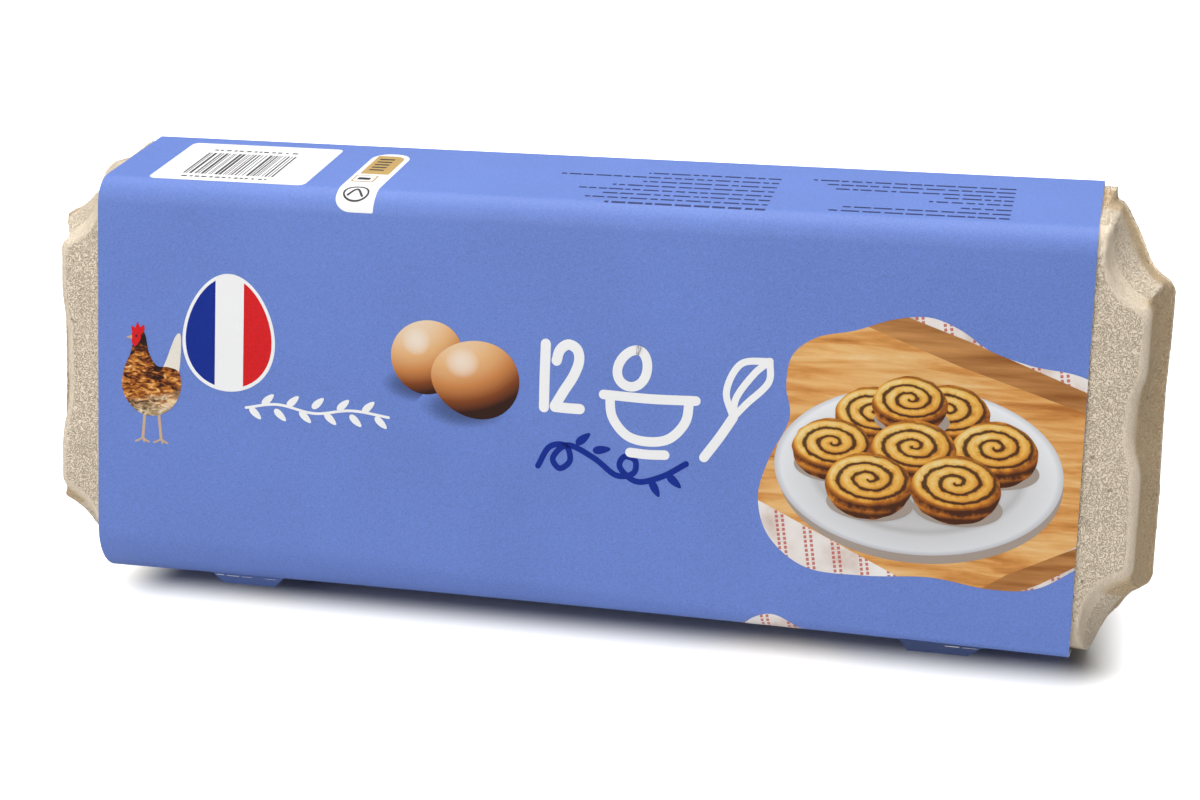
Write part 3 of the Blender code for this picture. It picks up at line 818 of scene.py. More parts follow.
class Artwork:
    """Printed shapes gathered into one mesh that follows the sleeve, each over the one before.

    A shape that doesn't cross another needs no step up, so step can be set to 0 for it.
    """

    def __init__(self, name, shift=0.0):
        self.name = name
        self.shift = shift
        self.points = []
        self.faces = []
        self.places = []
        self.slots = []
        self.materials = []
        self.level = 0
        self.step = 1

    def _add(self, flat, faces, material, centre, half):
        if material not in self.materials:
            self.materials.append(material)
        lift = bpy.context.scene.pack_sizes.print_lift * (1.0 + LIFT_STEP * self.level)
        self.level += self.step
        start = len(self.points)
        for x, s in flat:
            self.points.append(card_point(x, s, lift))
            self.places.append(((x - centre[0]) / half[0], (s - centre[1]) / half[1]))
        self.faces += [tuple(start + index for index in face) for face in faces]
        self.slots += [self.materials.index(material)] * len(faces)

    def shape(self, outline, material, right_end=None, left_end=None, spacing=0.004):
        """Filled outline, cut to lie on the bends, and cut off at a left or right end if given."""
        work = bmesh.new()
        face = work.faces.new([work.verts.new((x, s, 0.0)) for x, s in outline])
        if face.normal.z < 0:
            bmesh.ops.reverse_faces(work, faces=[face])
        xs, ss = zip(*outline)
        bmesh.ops.triangulate(work, faces=work.faces[:])
        for place, side in ((left_end, -1.0), (right_end, 1.0)):
            if place is not None:
                cut(work, (place, 0, 0), (side, 0, 0), clear=True)
        for place in np.arange(min(xs) + spacing, max(xs), spacing):
            cut(work, (place, 0, 0), (1, 0, 0))
        place = min(ss)
        while place < max(ss):
            bent = BEND_START < abs(place) < BEND_END
            place += BEND_SPACING if bent else spacing
            if place < max(ss):
                cut(work, (0, place, 0), (0, 1, 0))
        work.verts.index_update()
        flat = [(vertex.co.x, vertex.co.y) for vertex in work.verts]
        faces = [tuple(vertex.index for vertex in face.verts) for face in work.faces]
        work.free()
        centre = ((min(xs) + max(xs)) / 2, (min(ss) + max(ss)) / 2)
        half = ((max(xs) - min(xs)) / 2, (max(ss) - min(ss)) / 2)
        self._add(flat, faces, material, centre, half)

    def line(self, path, width, material, steps=8):
        """Line with round ends: its two sides, then the end's cap and the start's."""
        points = np.array(path, float)
        direction = np.gradient(points, axis=0)
        direction /= np.linalg.norm(direction, axis=1)[:, None] + 1e-12
        side = np.stack((-direction[:, 1], direction[:, 0]), axis=1) * width / 2
        flat = [*map(tuple, points + side), *map(tuple, points - side)]
        for place, heading in ((points[-1], direction[-1]), (points[0], -direction[0])):
            start = math.atan2(heading[1], heading[0]) + math.pi / 2
            for step in range(1, steps):
                angle = start - math.pi * step / steps
                flat.append((place[0] + width / 2 * math.cos(angle),
                             place[1] + width / 2 * math.sin(angle)))
        count = len(points)
        faces = [(i, i + count, i + count + 1, i + 1) for i in range(count - 1)]
        middle = 2 * count + steps - 1
        faces.append((count - 1, 2 * count - 1, *reversed(range(2 * count, middle))))
        faces.append((count, 0, *reversed(range(middle, len(flat)))))
        self._add(flat, faces, material, path[0], (1.0, 1.0))

    def blob(self, points, material, steps=8):
        """Smooth shape through points in millimetres."""
        self.shape(smooth_loop(scaled(points, self.shift), steps), material)

    def trace(self, points, width, material, steps=10):
        """Smooth line through points in millimetres."""
        self.line(smooth_path(scaled(points, self.shift), steps), width, material)

    def finish(self):
        """Piece of all the shapes."""
        mesh = mesh_from(self.name, self.points, self.faces, self.materials, self.slots, sharp=60)
        layer = mesh.uv_layers.new(name="shape")
        corners = np.zeros(len(mesh.loops), np.int32)
        mesh.loops.foreach_get("vertex_index", corners)
        layer.data.foreach_set("uv", np.array(self.places, np.float32)[corners].ravel())
        add_piece(self.name, mesh)


class PACK_OT_sleeve(bpy.types.Operator):
    """Make the card sleeve with its folds, cut edges, windows and flaps"""

    bl_idname = "pack.sleeve"
    bl_label = "Card sleeve"

    def execute(self, context):
        colours = context.scene.pack_colours
        blue = plain_print("card_blue", colours.blue)
        board = plain_print("card_board", colours.white, cloud=0.16, grain=0.25, roughness=0.75,
                            tooth=0.00004, coat=0.0)
        mesh = self.tube(blue, board)
        # Painted shade: dark brown for the flaps' edges and backs and for the seam's shadow strip,
        # where shade falls on the board
        painted_edge_shade = plain_print("card_painted_edge_shade", (0.26, 0.20, 0.19), cloud=0.5, grain=0.4)
        mesh = self.with_flaps(mesh, colours.blue, board, painted_edge_shade)
        add_piece("sleeve_card", mesh, nodes=("sleeve",))
        self.creases(board)
        self.seam(board, painted_edge_shade)
        return {"FINISHED"}

    @staticmethod
    def creases(board):
        """Cracked print along the roots of the flaps, where the bare board shows."""
        rng = random.Random(9)
        points = []
        faces = []
        for place, share in zip(FLAP_PLACES, CREASE_SHARES):
            x = place - FLAP_ROOT / 2 + CRACK_ROOM[0]
            while x < place + FLAP_ROOT / 2 - CRACK_ROOM[1]:
                length = rng.uniform(*CRACK_LENGTHS)
                if rng.random() < share:
                    hinge = Vector((0, *lower_fold(place))) + FACING * (CARD / 2 + MARK_LIFT)
                    top = CRACK_TOP + rng.uniform(0.0, CRACK_STRAY)
                    low = top + rng.uniform(*CRACK_WIDTHS)
                    for along, down in ((0.0, top), (length, top + rng.uniform(*CRACK_LEAN)),
                                        (length * 0.9, low), (length * 0.15, low)):
                        points.append(hinge + Vector((x + along, 0, 0)) + HANGING * down)
                    faces.append(tuple(range(len(points) - 1, len(points) - 5, -1)))
                x += length + rng.uniform(*CRACK_GAPS)
        mesh = mesh_from("sleeve_creases", points, faces, (board,), smooth=False)
        add_piece("sleeve_creases", mesh)

    @staticmethod
    def seam(board, painted_edge_shade):
        """Edge of the glued overlap, which runs along the back panel with its thin painted shadow.
        """
        back = LID_SIDE_DEPTH + BASE_SIDE_DEPTH + MARK_LIFT
        half = SLEEVE_LENGTH / 2 - SEAM_INSET
        points = [(x, back, z) for low, high in (SEAM_EDGE, SEAM_SHADOW)
                  for x, z in ((-half, low), (half, low), (half, high), (-half, high))]
        mesh = mesh_from("sleeve_seam", points, [(3, 2, 1, 0), (7, 6, 5, 4)], (board, painted_edge_shade), [0, 1],
                         smooth=False)
        add_piece("sleeve_seam", mesh)

    @staticmethod
    def tube(blue, board):
        """Closed tube with a printed outside, and board inside and on its edges."""
        rng = random.Random(11)
        nicks = [rng.uniform(-1, 1) for _ in range(400)]
        points = []
        rings = {"outer": [], "inner": []}
        for station in range(SLEEVE_STATIONS):
            x = SLEEVE_LENGTH * (station / (SLEEVE_STATIONS - 1) - 0.5)
            section = sleeve_section(x)
            for key, inset in (("outer", 0.0), ("inner", CARD)):
                start = len(points)
                for index, (place, normal) in enumerate(section):
                    swell = card_wave(x, place.y) if place.x < FRONT_ROOM else 0.0
                    spot = place + normal * (swell - inset)
                    edge = EDGE_NICK * nicks[index] if station in (0, SLEEVE_STATIONS - 1) else 0.0
                    points.append((x - math.copysign(abs(edge), x), spot.x, spot.y))
                rings[key].append(range(start, start + len(section)))
        faces = []
        slots = []
        outer, inner = rings["outer"], rings["inner"]
        bands = [(0, *pair) for pair in zip(outer, outer[1:])]
        bands += [(1, *pair) for pair in zip(inner, inner[1:])]
        bands += [(1, outer[end], inner[end]) for end in (0, -1)]
        for slot, first, second in bands:
            made = ring_band(first, second)
            faces += made
            slots += [slot] * len(made)
        mesh = mesh_from("sleeve_card", points, faces, (blue, board), slots, sharp=25)
        face_outwards(mesh)
        return mesh

    @staticmethod
    def with_flaps(mesh, blue, board, painted_edge_shade):
        """The tube with a window and a hanging flap at each flap's place, the flap's blue darkened
        as painted shade.
        """
        sleeve = add_object("sleeve_work", mesh)
        along_side = Vector((0, math.cos(LOWER_SLOPE), -math.sin(LOWER_SLOPE)))
        across_side = Vector((0, math.sin(LOWER_SLOPE), math.cos(LOWER_SLOPE)))
        for place, shade in zip(FLAP_PLACES, FLAP_PAINTED_SHADES):
            # Painted shade: each flap gets its own darker copy of the blue, standing in for the
            # shade on a flap that faces down
            shaded = plain_print(f"card_flap_painted_shade_{shade:.2f}", [channel * shade for channel in blue])
            window = flap_prism(place, WINDOW_PLAY, along_side, across_side,
                                FLAP_REACH + WINDOW_EXTRA, WINDOW_CUT, (board, board))
            window.location = along_side * WINDOW_START
            join(sleeve, window, "DIFFERENCE")
            flap = flap_prism(place, 0.0, HANGING, FACING, FLAP_REACH, CARD / 2, (shaded, painted_edge_shade))
            flap.location = HANGING * -FLAP_OVERLAP
            join(sleeve, flap, "UNION")
        result = sleeve.data
        bpy.data.objects.remove(sleeve, do_unlink=True)
        result.shade_smooth()
        result.set_sharp_from_angle(angle=math.radians(25))
        return result


def ring_band(first, second):
    """Quads between two closed rings of point numbers."""
    count = len(first)
    return [
        (first[i], first[(i + 1) % count], second[(i + 1) % count], second[i])
        for i in range(count)
    ]


def lower_fold(x):
    """Place where the lower bend meets the lower side, and a flap is hinged."""
    corners = sleeve_corners(x)
    return bend_arc(corners[4][0], corners[5][0], corners[0][0], corners[5][1], 5)[0][0]


def flap_prism(place, grow, reach, thickness, length, depth, materials):
    """Trapezoid plate or cutter hinged on the lower bend, with a printed face in front."""
    hinge = Vector((place, *lower_fold(place)))
    corners = (
        (-FLAP_ROOT / 2 - grow, -grow * 0.5),
        (FLAP_ROOT / 2 + grow, -grow * 0.5),
        (FLAP_SKEW + FLAP_TIP / 2 + grow, length),
        (FLAP_SKEW - FLAP_TIP / 2 - grow, length),
    )
    points = []
    for level in (-depth, depth):
        for side, down in corners:
            points.append(hinge + Vector((side, 0, 0)) + reach * down + thickness * level)
    faces = [(0, 1, 2, 3), (7, 6, 5, 4)]
    faces += [(i, (i + 1) % 4, (i + 1) % 4 + 4, i + 4) for i in range(4)]
    mesh = mesh_from("flap", points, faces, materials, [1, 0, 0, 1, 1, 1], smooth=False)
    face_outwards(mesh)
    return add_object("flap", mesh)


def join(target, tool, operation):
    """Join or cut one work object with another, and remove the other."""
    modifier = target.modifiers.new("join", "BOOLEAN")
    modifier.object = tool
    modifier.operation = operation
    modifier.solver = "EXACT"
    modifier.material_mode = "TRANSFER"
    bpy.context.view_layer.update()
    graph = bpy.context.evaluated_depsgraph_get()
    result = bpy.data.meshes.new_from_object(target.evaluated_get(graph))
    target.modifiers.remove(modifier)
    target.data = result
    bpy.data.objects.remove(tool, do_unlink=True)


# Outlines of one end corner, from the middle of the end round to the long side: (X, half width)
CREST = (
    (CREST_END, 0.000), (CREST_END, 0.0303), (0.1386, 0.0320), (0.1360, 0.0334),
    (0.1330, 0.0354), (0.1308, 0.0381), (0.1293, 0.0411), (0.1286, 0.0445), (0.1282, 0.0600),
)
WALL_UPPER = (
    (0.1402, 0.000), (0.1402, 0.0345), (0.1417, 0.0350), (0.1412, 0.0360), (0.1385, 0.0376),
    (0.1362, 0.0402), (0.1345, 0.0432), (0.1330, 0.0462), (0.1321, 0.0486), (0.1313, 0.0510),
    (0.1302, 0.0540), (0.1290, 0.0568), (0.1287, 0.0700),
)
WALL_LOWER = (
    (0.1433, 0.000), (0.1433, 0.0347), (0.1438, 0.0351), (0.1431, 0.0366), (0.1398, 0.0388),
    (0.1378, 0.0414), (0.1360, 0.0454), (0.1338, 0.0496), (0.1315, 0.0536), (0.1308, 0.0550),
    (0.1291, 0.0562), (0.1288, 0.0700),
)
RIM = (
    (0.1442, 0.000), (RIM_END, 0.0350), (0.1434, 0.0369), (0.1402, 0.0392), (0.1384, 0.0415),
    (0.1366, 0.0456), (0.1344, 0.0498), (0.1320, 0.0538), (0.1312, 0.0552), (0.1292, 0.0563),
    (0.1288, 0.0700),
)
END_STEPS = 150
SIDE_STEPS = 10
END_ANGLE = math.radians(89.0)


def reach_at(outline, angle):
    """Distance from the pivot to an outline of points, looking along an angle."""
    ray = Vector((math.cos(angle), math.sin(angle)))
    for (x0, z0), (x1, z1) in zip(outline, outline[1:]):
        edge = (x1 - x0, z1 - z0)
        cross = ray.x * edge[1] - ray.y * edge[0]
        if abs(cross) < 1e-12:
            continue
        distance = ((x0 - PIVOT) * edge[1] - z0 * edge[0]) / cross
        share = ((x0 - PIVOT) * ray.y - z0 * ray.x) / cross
        if -TINY <= share <= 1 + TINY and distance > 0:
            return distance
    return 10.0


def soft_reach(outline, angle, softness=0.010):
    """The same distance averaged over a few close angles, which rounds the corners."""
    offsets = [softness * (step / 3) for step in range(-3, 4)]
    return sum(reach_at(outline, abs(angle + offset)) for offset in offsets) / len(offsets)


def lobed_reach(end_x, half_width, angle):
    """Distance from the pivot to the rounded end of two cups side by side."""
    radius = LOBE_SHARE * half_width
    centre = Vector((end_x - radius - PIVOT, half_width - radius))
    along = centre.dot(Vector((math.cos(angle), math.sin(angle))))
    return along + math.sqrt(max(0.0, radius * radius - centre.length_squared + along * along))


def side_z(depth):
    """Height of the sleeve's upper outer wall at a depth, before its bends."""
    if depth < LID_SIDE_DEPTH:
        return FRONT_WIDTH / 2 + FLARE * depth / LID_SIDE_DEPTH
    return FRONT_WIDTH / 2 + FLARE - (depth - LID_SIDE_DEPTH) * math.tan(LEAN)


def inner_side(depth):
    """Half width that clears the inside of the sleeve at a depth."""
    round_off = max(0.0, FRONT_BEND_RADIUS * BEND_ROOM - depth * BEND_ROOM_FALL)
    return side_z(depth) - CARD - SLEEVE_PLAY - round_off


def key_ring(reach, half_width, depth_end, depth_side, top, knob=0.0, notch=0.0):
    """Full ring of an outline that repeats in four corners, as an array of points."""
    angles = np.linspace(0.0, END_ANGLE, END_STEPS + 1)
    far = np.array([min(reach(angle), half_width / max(1e-6, math.sin(angle))) for angle in angles])
    share = smoothstep(*DEPTH_TURN, angles)
    quarter = np.stack((
        PIVOT + far * np.cos(angles),
        depth_end + (depth_side - depth_end) * share,
        far * np.sin(angles)), axis=1)
    last = quarter[-1]
    side = np.stack([np.array((last[0] * (1 - step / SIDE_STEPS), depth_side, half_width))
                     for step in range(1, SIDE_STEPS + 1)])
    quarter = np.concatenate((quarter, side))
    ring = np.concatenate((
        quarter,
        quarter[-2::-1] * (-1, 1, 1),
        quarter[1:] * (-1, 1, -1),
        quarter[-2:0:-1] * (1, 1, -1)))
    return shape_ends(ring, top, knob, notch)


def shape_ends(ring, top, knob, notch):
    """Move a symmetrical ring to where each end and corner has it; top is 1 at the lid's face."""
    x, depth, z = ring.T
    right = x > 0

    def own(pair):
        return np.where(right, pair[1], pair[-1])

    outer = smoothstep(PIVOT, CORNER_BLEND, np.abs(x))
    height = z + END_SHIFT * np.maximum(0.0, 1.0 - (np.abs(z) / END_SHIFT_FADE) ** 4)
    spread = np.exp(-(((np.abs(z) - STRETCH_PLACE) / STRETCH_WIDTH) ** 2)) * outer
    spread = spread * (1.0 - smoothstep(*STRETCH_FADE, np.abs(z)))
    drawn = LOWER_DRAW * np.minimum(1.0, depth / LID_SIDE_DEPTH) * smoothstep(*DRAW_FADE, -z)
    upper = own(UPPER_STRETCH) * (1.0 - FACE_LOSS * top)
    height += np.where(z > 0, upper, -own(LOWER_STRETCH)) * spread
    height += drawn
    saddle = np.exp(-(((height - own(DIP_PLACE)) / own(DIP_WIDTH)) ** 4))
    inward = (own(DIP_DEPTH) * saddle + own(CREST_CUT)) * top * outer
    inward -= knob * np.exp(-(((height - KNOB_PLACE) / KNOB_WIDTH) ** 2)) * outer * right
    inward += notch * np.exp(-(((height - NOTCH_PLACE) / NOTCH_WIDTH) ** 4)) * outer * ~right
    return np.stack((x - np.where(right, 1.0, -1.0) * inward, depth, height), axis=1)


def between(rings, counts):
    """Rings filled in by smooth curves; a count below zero asks for straight steps."""
    filled = [rings[0]]
    for index, count in enumerate(counts):
        p1, p2 = rings[index], rings[index + 1]
        p0 = rings[index - 1] if index else p1
        p3 = rings[index + 2] if index + 2 < len(rings) else p2
        for step in range(1, abs(count) + 1):
            t = step / abs(count)
            if count < 0:
                filled.append(p1 + (p2 - p1) * t)
                continue
            chord = np.linalg.norm(p2 - p1, axis=1)[:, None]
            before = np.linalg.norm(p1 - p0, axis=1)[:, None] + 1e-9
            after = np.linalg.norm(p3 - p2, axis=1)[:, None] + 1e-9
            leave = (p2 - p0) * chord / (before + chord)
            arrive = (p3 - p1) * chord / (after + chord)
            filled.append(p1 * (2 * t ** 3 - 3 * t * t + 1) + leave * (t ** 3 - 2 * t * t + t)
                          + p2 * (3 * t * t - 2 * t ** 3) + arrive * (t ** 3 - t * t))
    return filled


def pulp_mesh(name, rings, coarse, wall_painted_shade, material):
    """Closed pulp body through its rings, with lumps, and with masks that its material reads."""
    relief = bpy.context.scene.pack_sizes.pulp_relief
    count = len(rings[0])
    points = np.concatenate(rings)
    faces = []
    for start in range(0, len(points) - count, count):
        faces += ring_band(range(start, start + count), range(start + count, start + 2 * count))
    faces.append(tuple(range(count)))
    faces.append(tuple(reversed(range(len(points) - count, len(points)))))
    mesh = mesh_from(name, points, faces, (material,), sharp=70)
    face_outwards(mesh)
    normals = np.zeros(len(points) * 3, np.float32)
    mesh.vertex_normals.foreach_get("vector", normals)
    rough = np.repeat(coarse, count)
    heights = np.zeros(len(points))
    shown = np.abs(points[:, 0]) > SLEEVE_LENGTH / 2 - HIDDEN_DEPTH
    for index in np.nonzero(shown)[0]:
        place = Vector(points[index])
        lump = noise.noise(place / LUMP_SIZE)
        grain = noise.fractal(place / GRAIN_SIZE, 0.6, 2.2, 3)
        swell = noise.noise(place / SWELL_SIZE + Vector((5.1, 0.4, 2.2)))
        heights[index] = relief * (0.55 * lump + 0.65 * grain * rough[index]) + SWELL_HEIGHT * swell
    points = points + normals.reshape(-1, 3) * heights[:, None]
    mesh.vertices.foreach_set("co", points.astype(np.float32).ravel())
    for label, values in (("coarse", rough), ("wall_painted_shade", wall_painted_shade.ravel())):
        attribute = mesh.attributes.new(label, "FLOAT", "POINT")
        attribute.data.foreach_set("value", np.asarray(values, np.float32))
    mesh.update()
    return mesh


def pulp_material(name, shade):
    """Moulded pulp: grey beige with curled fibres, specks, a soft dusty surface and painted shade
    on its walls.
    """
    colours = bpy.context.scene.pack_colours
    sizes = bpy.context.scene.pack_sizes
    made = Finish(name)
    height, curl, fine, cloud, speck = made.effect(
        pulp_fibre, {"Fibre size": 0.0011, "Speck share": 0.3},
        ("Height", "Curl", "Fine", "Cloud", "Speck"),
        {"Fibre size": sizes.fibre_size, "Speck share": sizes.speck_share})
    coarse, wall_painted_shade = (Value(made, made.add("Attribute", attribute_name=label).outputs["Fac"])
                      for label in ("coarse", "wall_painted_shade"))
    # Painted shade: the mask blends the face colour into the darker wall colour
    face, wall = (tuple(channel * shade for channel in colour)
                  for colour in (colours.pulp, colours.pulp_wall_shade))
    colour = made.shaded(made.mix(wall_painted_shade, face, wall), cloud * 0.22 + 0.89 + (fine - 0.5) * 0.30)
    colour = made.mix((1.0 - curl) * coarse, colour, FIBRE_TINT, "MULTIPLY")
    colour = made.mix(speck * (coarse * 0.50 + 0.05), colour, tuple(colours.pulp_dark))
    return made.set({
        "Base Color": colour, "Roughness": 0.92, "Specular IOR Level": 0.25,
        "Normal": made.bump(coarse * 0.70 + 0.22, FIBRE_HEIGHT, height)})


def wall_ring(outline, depth_end, depth_side, top=0.0, inset=0.0):
    """Ring of the carton along an outline; top is 1 at the lid's face and 0 at the rim."""
    knob = KNOB_REACH if top < KNOB_TOP else 0.0
    notch = NOTCH_WALL * (1 - float(smoothstep(0.4, 1.0, top))) if top else NOTCH_RIM
    return key_ring(lambda angle: soft_reach(outline, angle) - inset,
                    inner_side(depth_side) - inset, depth_end, depth_side, top, knob, notch)


def cup_ring(end_x, depth, depth_side):
    """Ring round the two cups at each end, which round off toward their feet."""
    rounding = FOOT_ROUNDING * float(smoothstep(FOOT_ROUND_START, FOOT_DEPTH, depth)) ** 2
    half_width = inner_side(depth_side) - rounding
    return key_ring(lambda angle: lobed_reach(end_x, half_width, angle),
                    half_width, depth, depth_side, 0.0)


def joint_ring(ring, depth):
    """Smaller flat ring inside another, which closes a body at the joint."""
    along, across = JOINT_SHARES
    return np.stack((ring[:, 0] * along, np.full(len(ring), depth), ring[:, 2] * across), axis=1)


class PACK_OT_lid(bpy.types.Operator):
    """Make the pulp lid, with its crest, end pockets and rim"""

    bl_idname = "pack.lid"
    bl_label = "Pulp lid"

    def execute(self, context):
        top_end = RIM_DEPTH_END - RIM_THICKNESS
        top_side = RIM_DEPTH_SIDE - RIM_THICKNESS
        filled = between([wall_ring(*level) for level in (
            (CREST, 0.0011, 0.0011, 1.0, 0.0170),
            (CREST, 0.0011, 0.0011, 1.0, 0.0040),
            (CREST, 0.0016, 0.0016, 1.0, 0.0016),
            (CREST, 0.0034, 0.0044, 1.0),
            (WALL_UPPER, 0.0095, 0.0165, 0.4),
            (WALL_LOWER, top_end - 0.0006, top_side - 0.0006, 0.1),
            (RIM, top_end, top_side, 0.0, RIM_ROUND),
            (RIM, top_end + 0.0004, top_side + 0.0004),
            (RIM, RIM_DEPTH_END - RIM_ROUND, RIM_DEPTH_SIDE - RIM_ROUND),
            (RIM, RIM_DEPTH_END, RIM_DEPTH_SIDE, 0.0, RIM_ROUND),
        )], LID_STEPS)
        filled.append(joint_ring(filled[-1], RIM_DEPTH_SIDE))
        coarse = np.ones(len(filled))
        coarse[slice(*CREST_RINGS)] = CREST_COARSE
        # Painted shade on the lid's end walls: it rises over a few rings, later in the corners, and
        # stops before the rim
        number = np.arange(len(filled))[:, None]
        height = np.abs(np.stack([ring[:, 2] for ring in filled]))
        start = SHADE_START + CORNER_DELAY * smoothstep(*CORNER_HEIGHTS, height)
        wall_painted_shade = smoothstep(0.0, 1.0, (number - start) / SHADE_BLEND) * (number < SHADE_STOP)
        mesh = pulp_mesh("lid_pulp", filled, coarse, wall_painted_shade, pulp_material("pulp_lid", 1.0))
        add_piece("lid_pulp", mesh, nodes=("lid",))
        return {"FINISHED"}


class PACK_OT_base(bpy.types.Operator):
    """Make the pulp base, with its rim and the two rounded cups at each end"""

    bl_idname = "pack.base"
    bl_label = "Pulp base"

    def execute(self, context):
        top_end = RIM_DEPTH_END + JOINT_GAP
        top_side = RIM_DEPTH_SIDE + JOINT_GAP
        rings = [wall_ring(RIM, top_end + down, top_side + down, 0.0, inset) for down, inset in (
            (0.0, RIM_ROUND), (RIM_ROUND, 0.0), (RIM_THICKNESS - RIM_ROUND, 0.0),
            (RIM_THICKNESS, RIM_ROUND), (RIM_THICKNESS + 0.0008, 0.0026))]
        filled = between(rings + [cup_ring(*level) for level in CUP_LEVELS], BASE_STEPS)
        filled.insert(0, joint_ring(filled[0], top_side))
        # Painted shade on the base: darker the deeper the ring lies
        wall_painted_shade = np.repeat(np.linspace(0.0, 1.0, len(filled)) ** 0.5, len(filled[0]))
        mesh = pulp_mesh("base_pulp", filled, np.ones(len(filled)), wall_painted_shade,
                         pulp_material("pulp_base", 0.94))
        add_piece("base_pulp", mesh, nodes=("base",))
        return {"FINISHED"}


class PACK_OT_print_front(bpy.types.Operator):
    """Print the front: hen, badge, eggs, numerals, flourishes and the picture field"""

    bl_idname = "pack.print_front"
    bl_label = "Front print"

    def execute(self, context):
        colours = context.scene.pack_colours
        white = plain_print("print_white", colours.white, cloud=0.04, grain=0.05)
        deep = plain_print("print_deep_blue", colours.deep_blue)
        red = plain_print("print_red", colours.red)
        cloth = cloth_print()
        self.hen(red)
        self.badge(white, deep, red)
        self.eggs(colours.blue)
        self.numerals(white)
        self.kitchen_signs(white)
        self.flourish(deep)
        self.sprig(white)
        self.picture(cloth)
        self.lower_picture(cloth)
        return {"FINISHED"}

    @staticmethod
    def hen(red):
        """Brown hen seen from the side, standing."""
        art = Artwork("print_hen", shift=-0.1111)
        plumage = plumage_print()
        cream = plain_print("print_cream", (0.90, 0.84, 0.74), cloud=0.4, grain=0.3)
        shank = plain_print("print_shank", (0.62, 0.43, 0.28), cloud=0.3, grain=0.3)
        dark = plain_print("print_dark", (0.03, 0.02, 0.02))
        for foot, lean in ((-1.6, -0.6), (2.2, 0.8)):
            ankle = foot + lean
            art.trace([(foot, -8.0), (foot + lean * 0.5, -12.0), (ankle, -15.6)], 0.0008, shank)
            for toe in (-2.0, 0.4, 1.8):
                art.trace([(ankle, -15.6), (ankle + toe * 0.6, -16.3), (ankle + toe, -16.6)],
                          0.0005, shank, 4)
        tail = [(3.2, 1.5), (4.6, 6.0), (6.8, 11.5), (8.2, 12.2), (8.4, 8.5), (7.9, 2.5),
                (6.5, -1.5)]
        body = [(-4.6, 11.4), (-3.0, 12.6), (-1.6, 11.4), (-0.6, 7.0), (1.6, 3.6), (5.0, 3.4),
                (7.9, 2.2), (8.4, -2.2), (6.6, -6.4), (2.8, -9.2), (-2.2, -9.4), (-6.2, -6.6),
                (-8.1, -2.4), (-7.4, 2.6), (-5.6, 6.8)]
        wing = [(-3.6, 1.2), (0.2, 1.8), (4.4, 0.2), (6.8, -2.8), (3.4, -5.4), (-1.2, -4.8),
                (-4.2, -2.0)]
        comb = [(-5.2, 12.0), (-5.4, 13.6), (-4.4, 13.2), (-3.8, 14.6), (-3.0, 13.4), (-2.0, 14.0),
                (-1.9, 12.4), (-3.2, 11.4)]
        face = [(-5.4, 11.6), (-4.0, 12.3), (-2.8, 11.4), (-3.2, 9.6), (-4.6, 8.2), (-5.4, 9.6)]
        beak = [(-5.3, 11.3), (-7.0, 10.5), (-5.3, 10.1)]
        for outline, material, steps in (
                (tail, cream, 8), (body, plumage, 8), (wing, plumage, 8), (comb, red, 4),
                (face, red, 5)):
            art.blob(outline, material, steps)
        art.shape(scaled(beak, art.shift), shank)
        art.shape(ellipse((-0.1152, 0.0110), (0.00034, 0.00034), 16), dark)
        art.finish()

    @staticmethod
    def badge(white, deep, red):
        """Upright egg in three bands of blue, white and red, with a white edge."""
        art = Artwork("print_badge")
        centre = (-0.0896, 0.0134)
        edge, field = (ellipse(centre, radii, 96, math.pi / 2, 0.16)
                       for radii in ((0.0152, 0.0126), (0.0143, 0.0117)))
        art.shape(edge, white)
        art.shape(field, deep, right_end=centre[0] - 0.0037)
        art.shape(field, red, left_end=centre[0] + 0.0041)
        art.finish()

    @staticmethod
    def eggs(blue):
        """Two brown eggs, one in front of the other, with soft shadows on the ground colour."""
        art = Artwork("print_eggs")
        shell = egg_print("print_egg", 0.0)
        tanned = egg_print("print_egg_tanned", 0.09)
        shadow = shadow_print(blue)
        art.shape(ellipse((-0.0385, 0.0035), (0.0105, 0.0050), 64), shadow)
        art.shape(ellipse((-0.0262, -0.0016), (0.0125, 0.0056), 64), shadow)
        art.shape(ellipse((-0.0360, 0.0109), (0.0096, 0.0093), 96, math.radians(38), 0.06), shell)
        art.shape(ellipse((-0.0234, 0.0060), (0.0116, 0.0098), 96, math.radians(172), 0.09), tanned)
        art.finish()

    @staticmethod
    def numerals(white):
        """Plain 1 and 2, the number of eggs, in round strokes."""
        art = Artwork("print_numerals")
        for points in (
                [(-5.3, 16.2), (-5.35, 8.0), (-5.3, 0.3)],
                [(-2.4, 12.2), (-1.6, 14.9), (0.5, 16.4), (2.8, 15.2), (3.3, 12.3), (2.0, 8.6),
                 (-0.4, 4.6), (-2.5, 0.9)],
                [(-2.5, 0.6), (0.6, 0.5), (3.9, 0.5)]):
            art.trace(points, 0.0026, white)
        art.finish()

    @staticmethod
    def kitchen_signs(white):
        """Bowl, egg and whisk drawn in thick white strokes."""
        art = Artwork("print_kitchen_signs")
        width = 0.0024
        bowl = [(11.4, 4.6), (12.2, -0.8), (16.0, -5.2), (21.4, -6.4), (26.8, -5.2), (30.6, -0.8),
                (31.4, 4.6)]
        brim = [(9.8, 4.6), (21.4, 4.3), (33.0, 4.6)]
        foot = [(17.0, -9.4), (21.4, -9.6), (25.8, -9.4)]
        for points in (bowl, brim, foot):
            art.trace(points, width, white)
        egg = ellipse((17.0, 11.6), (4.7, 3.6), 40, math.radians(70), 0.12)
        art.line(scaled(egg + egg[:2]), width, white)
        art.trace([(35.6, -9.2), (39.2, -4.0), (42.4, 1.2)], width, white)
        for spread in (-4.6, 0.0, 4.6):
            art.trace([(42.4, 1.2), (43.0 + spread * 0.55, 6.2 - spread * 0.30),
                       (47.2 + spread * 0.75, 12.4 - spread * 0.45), (50.8, 15.6)],
                      width * 0.72, white)
        art.finish()

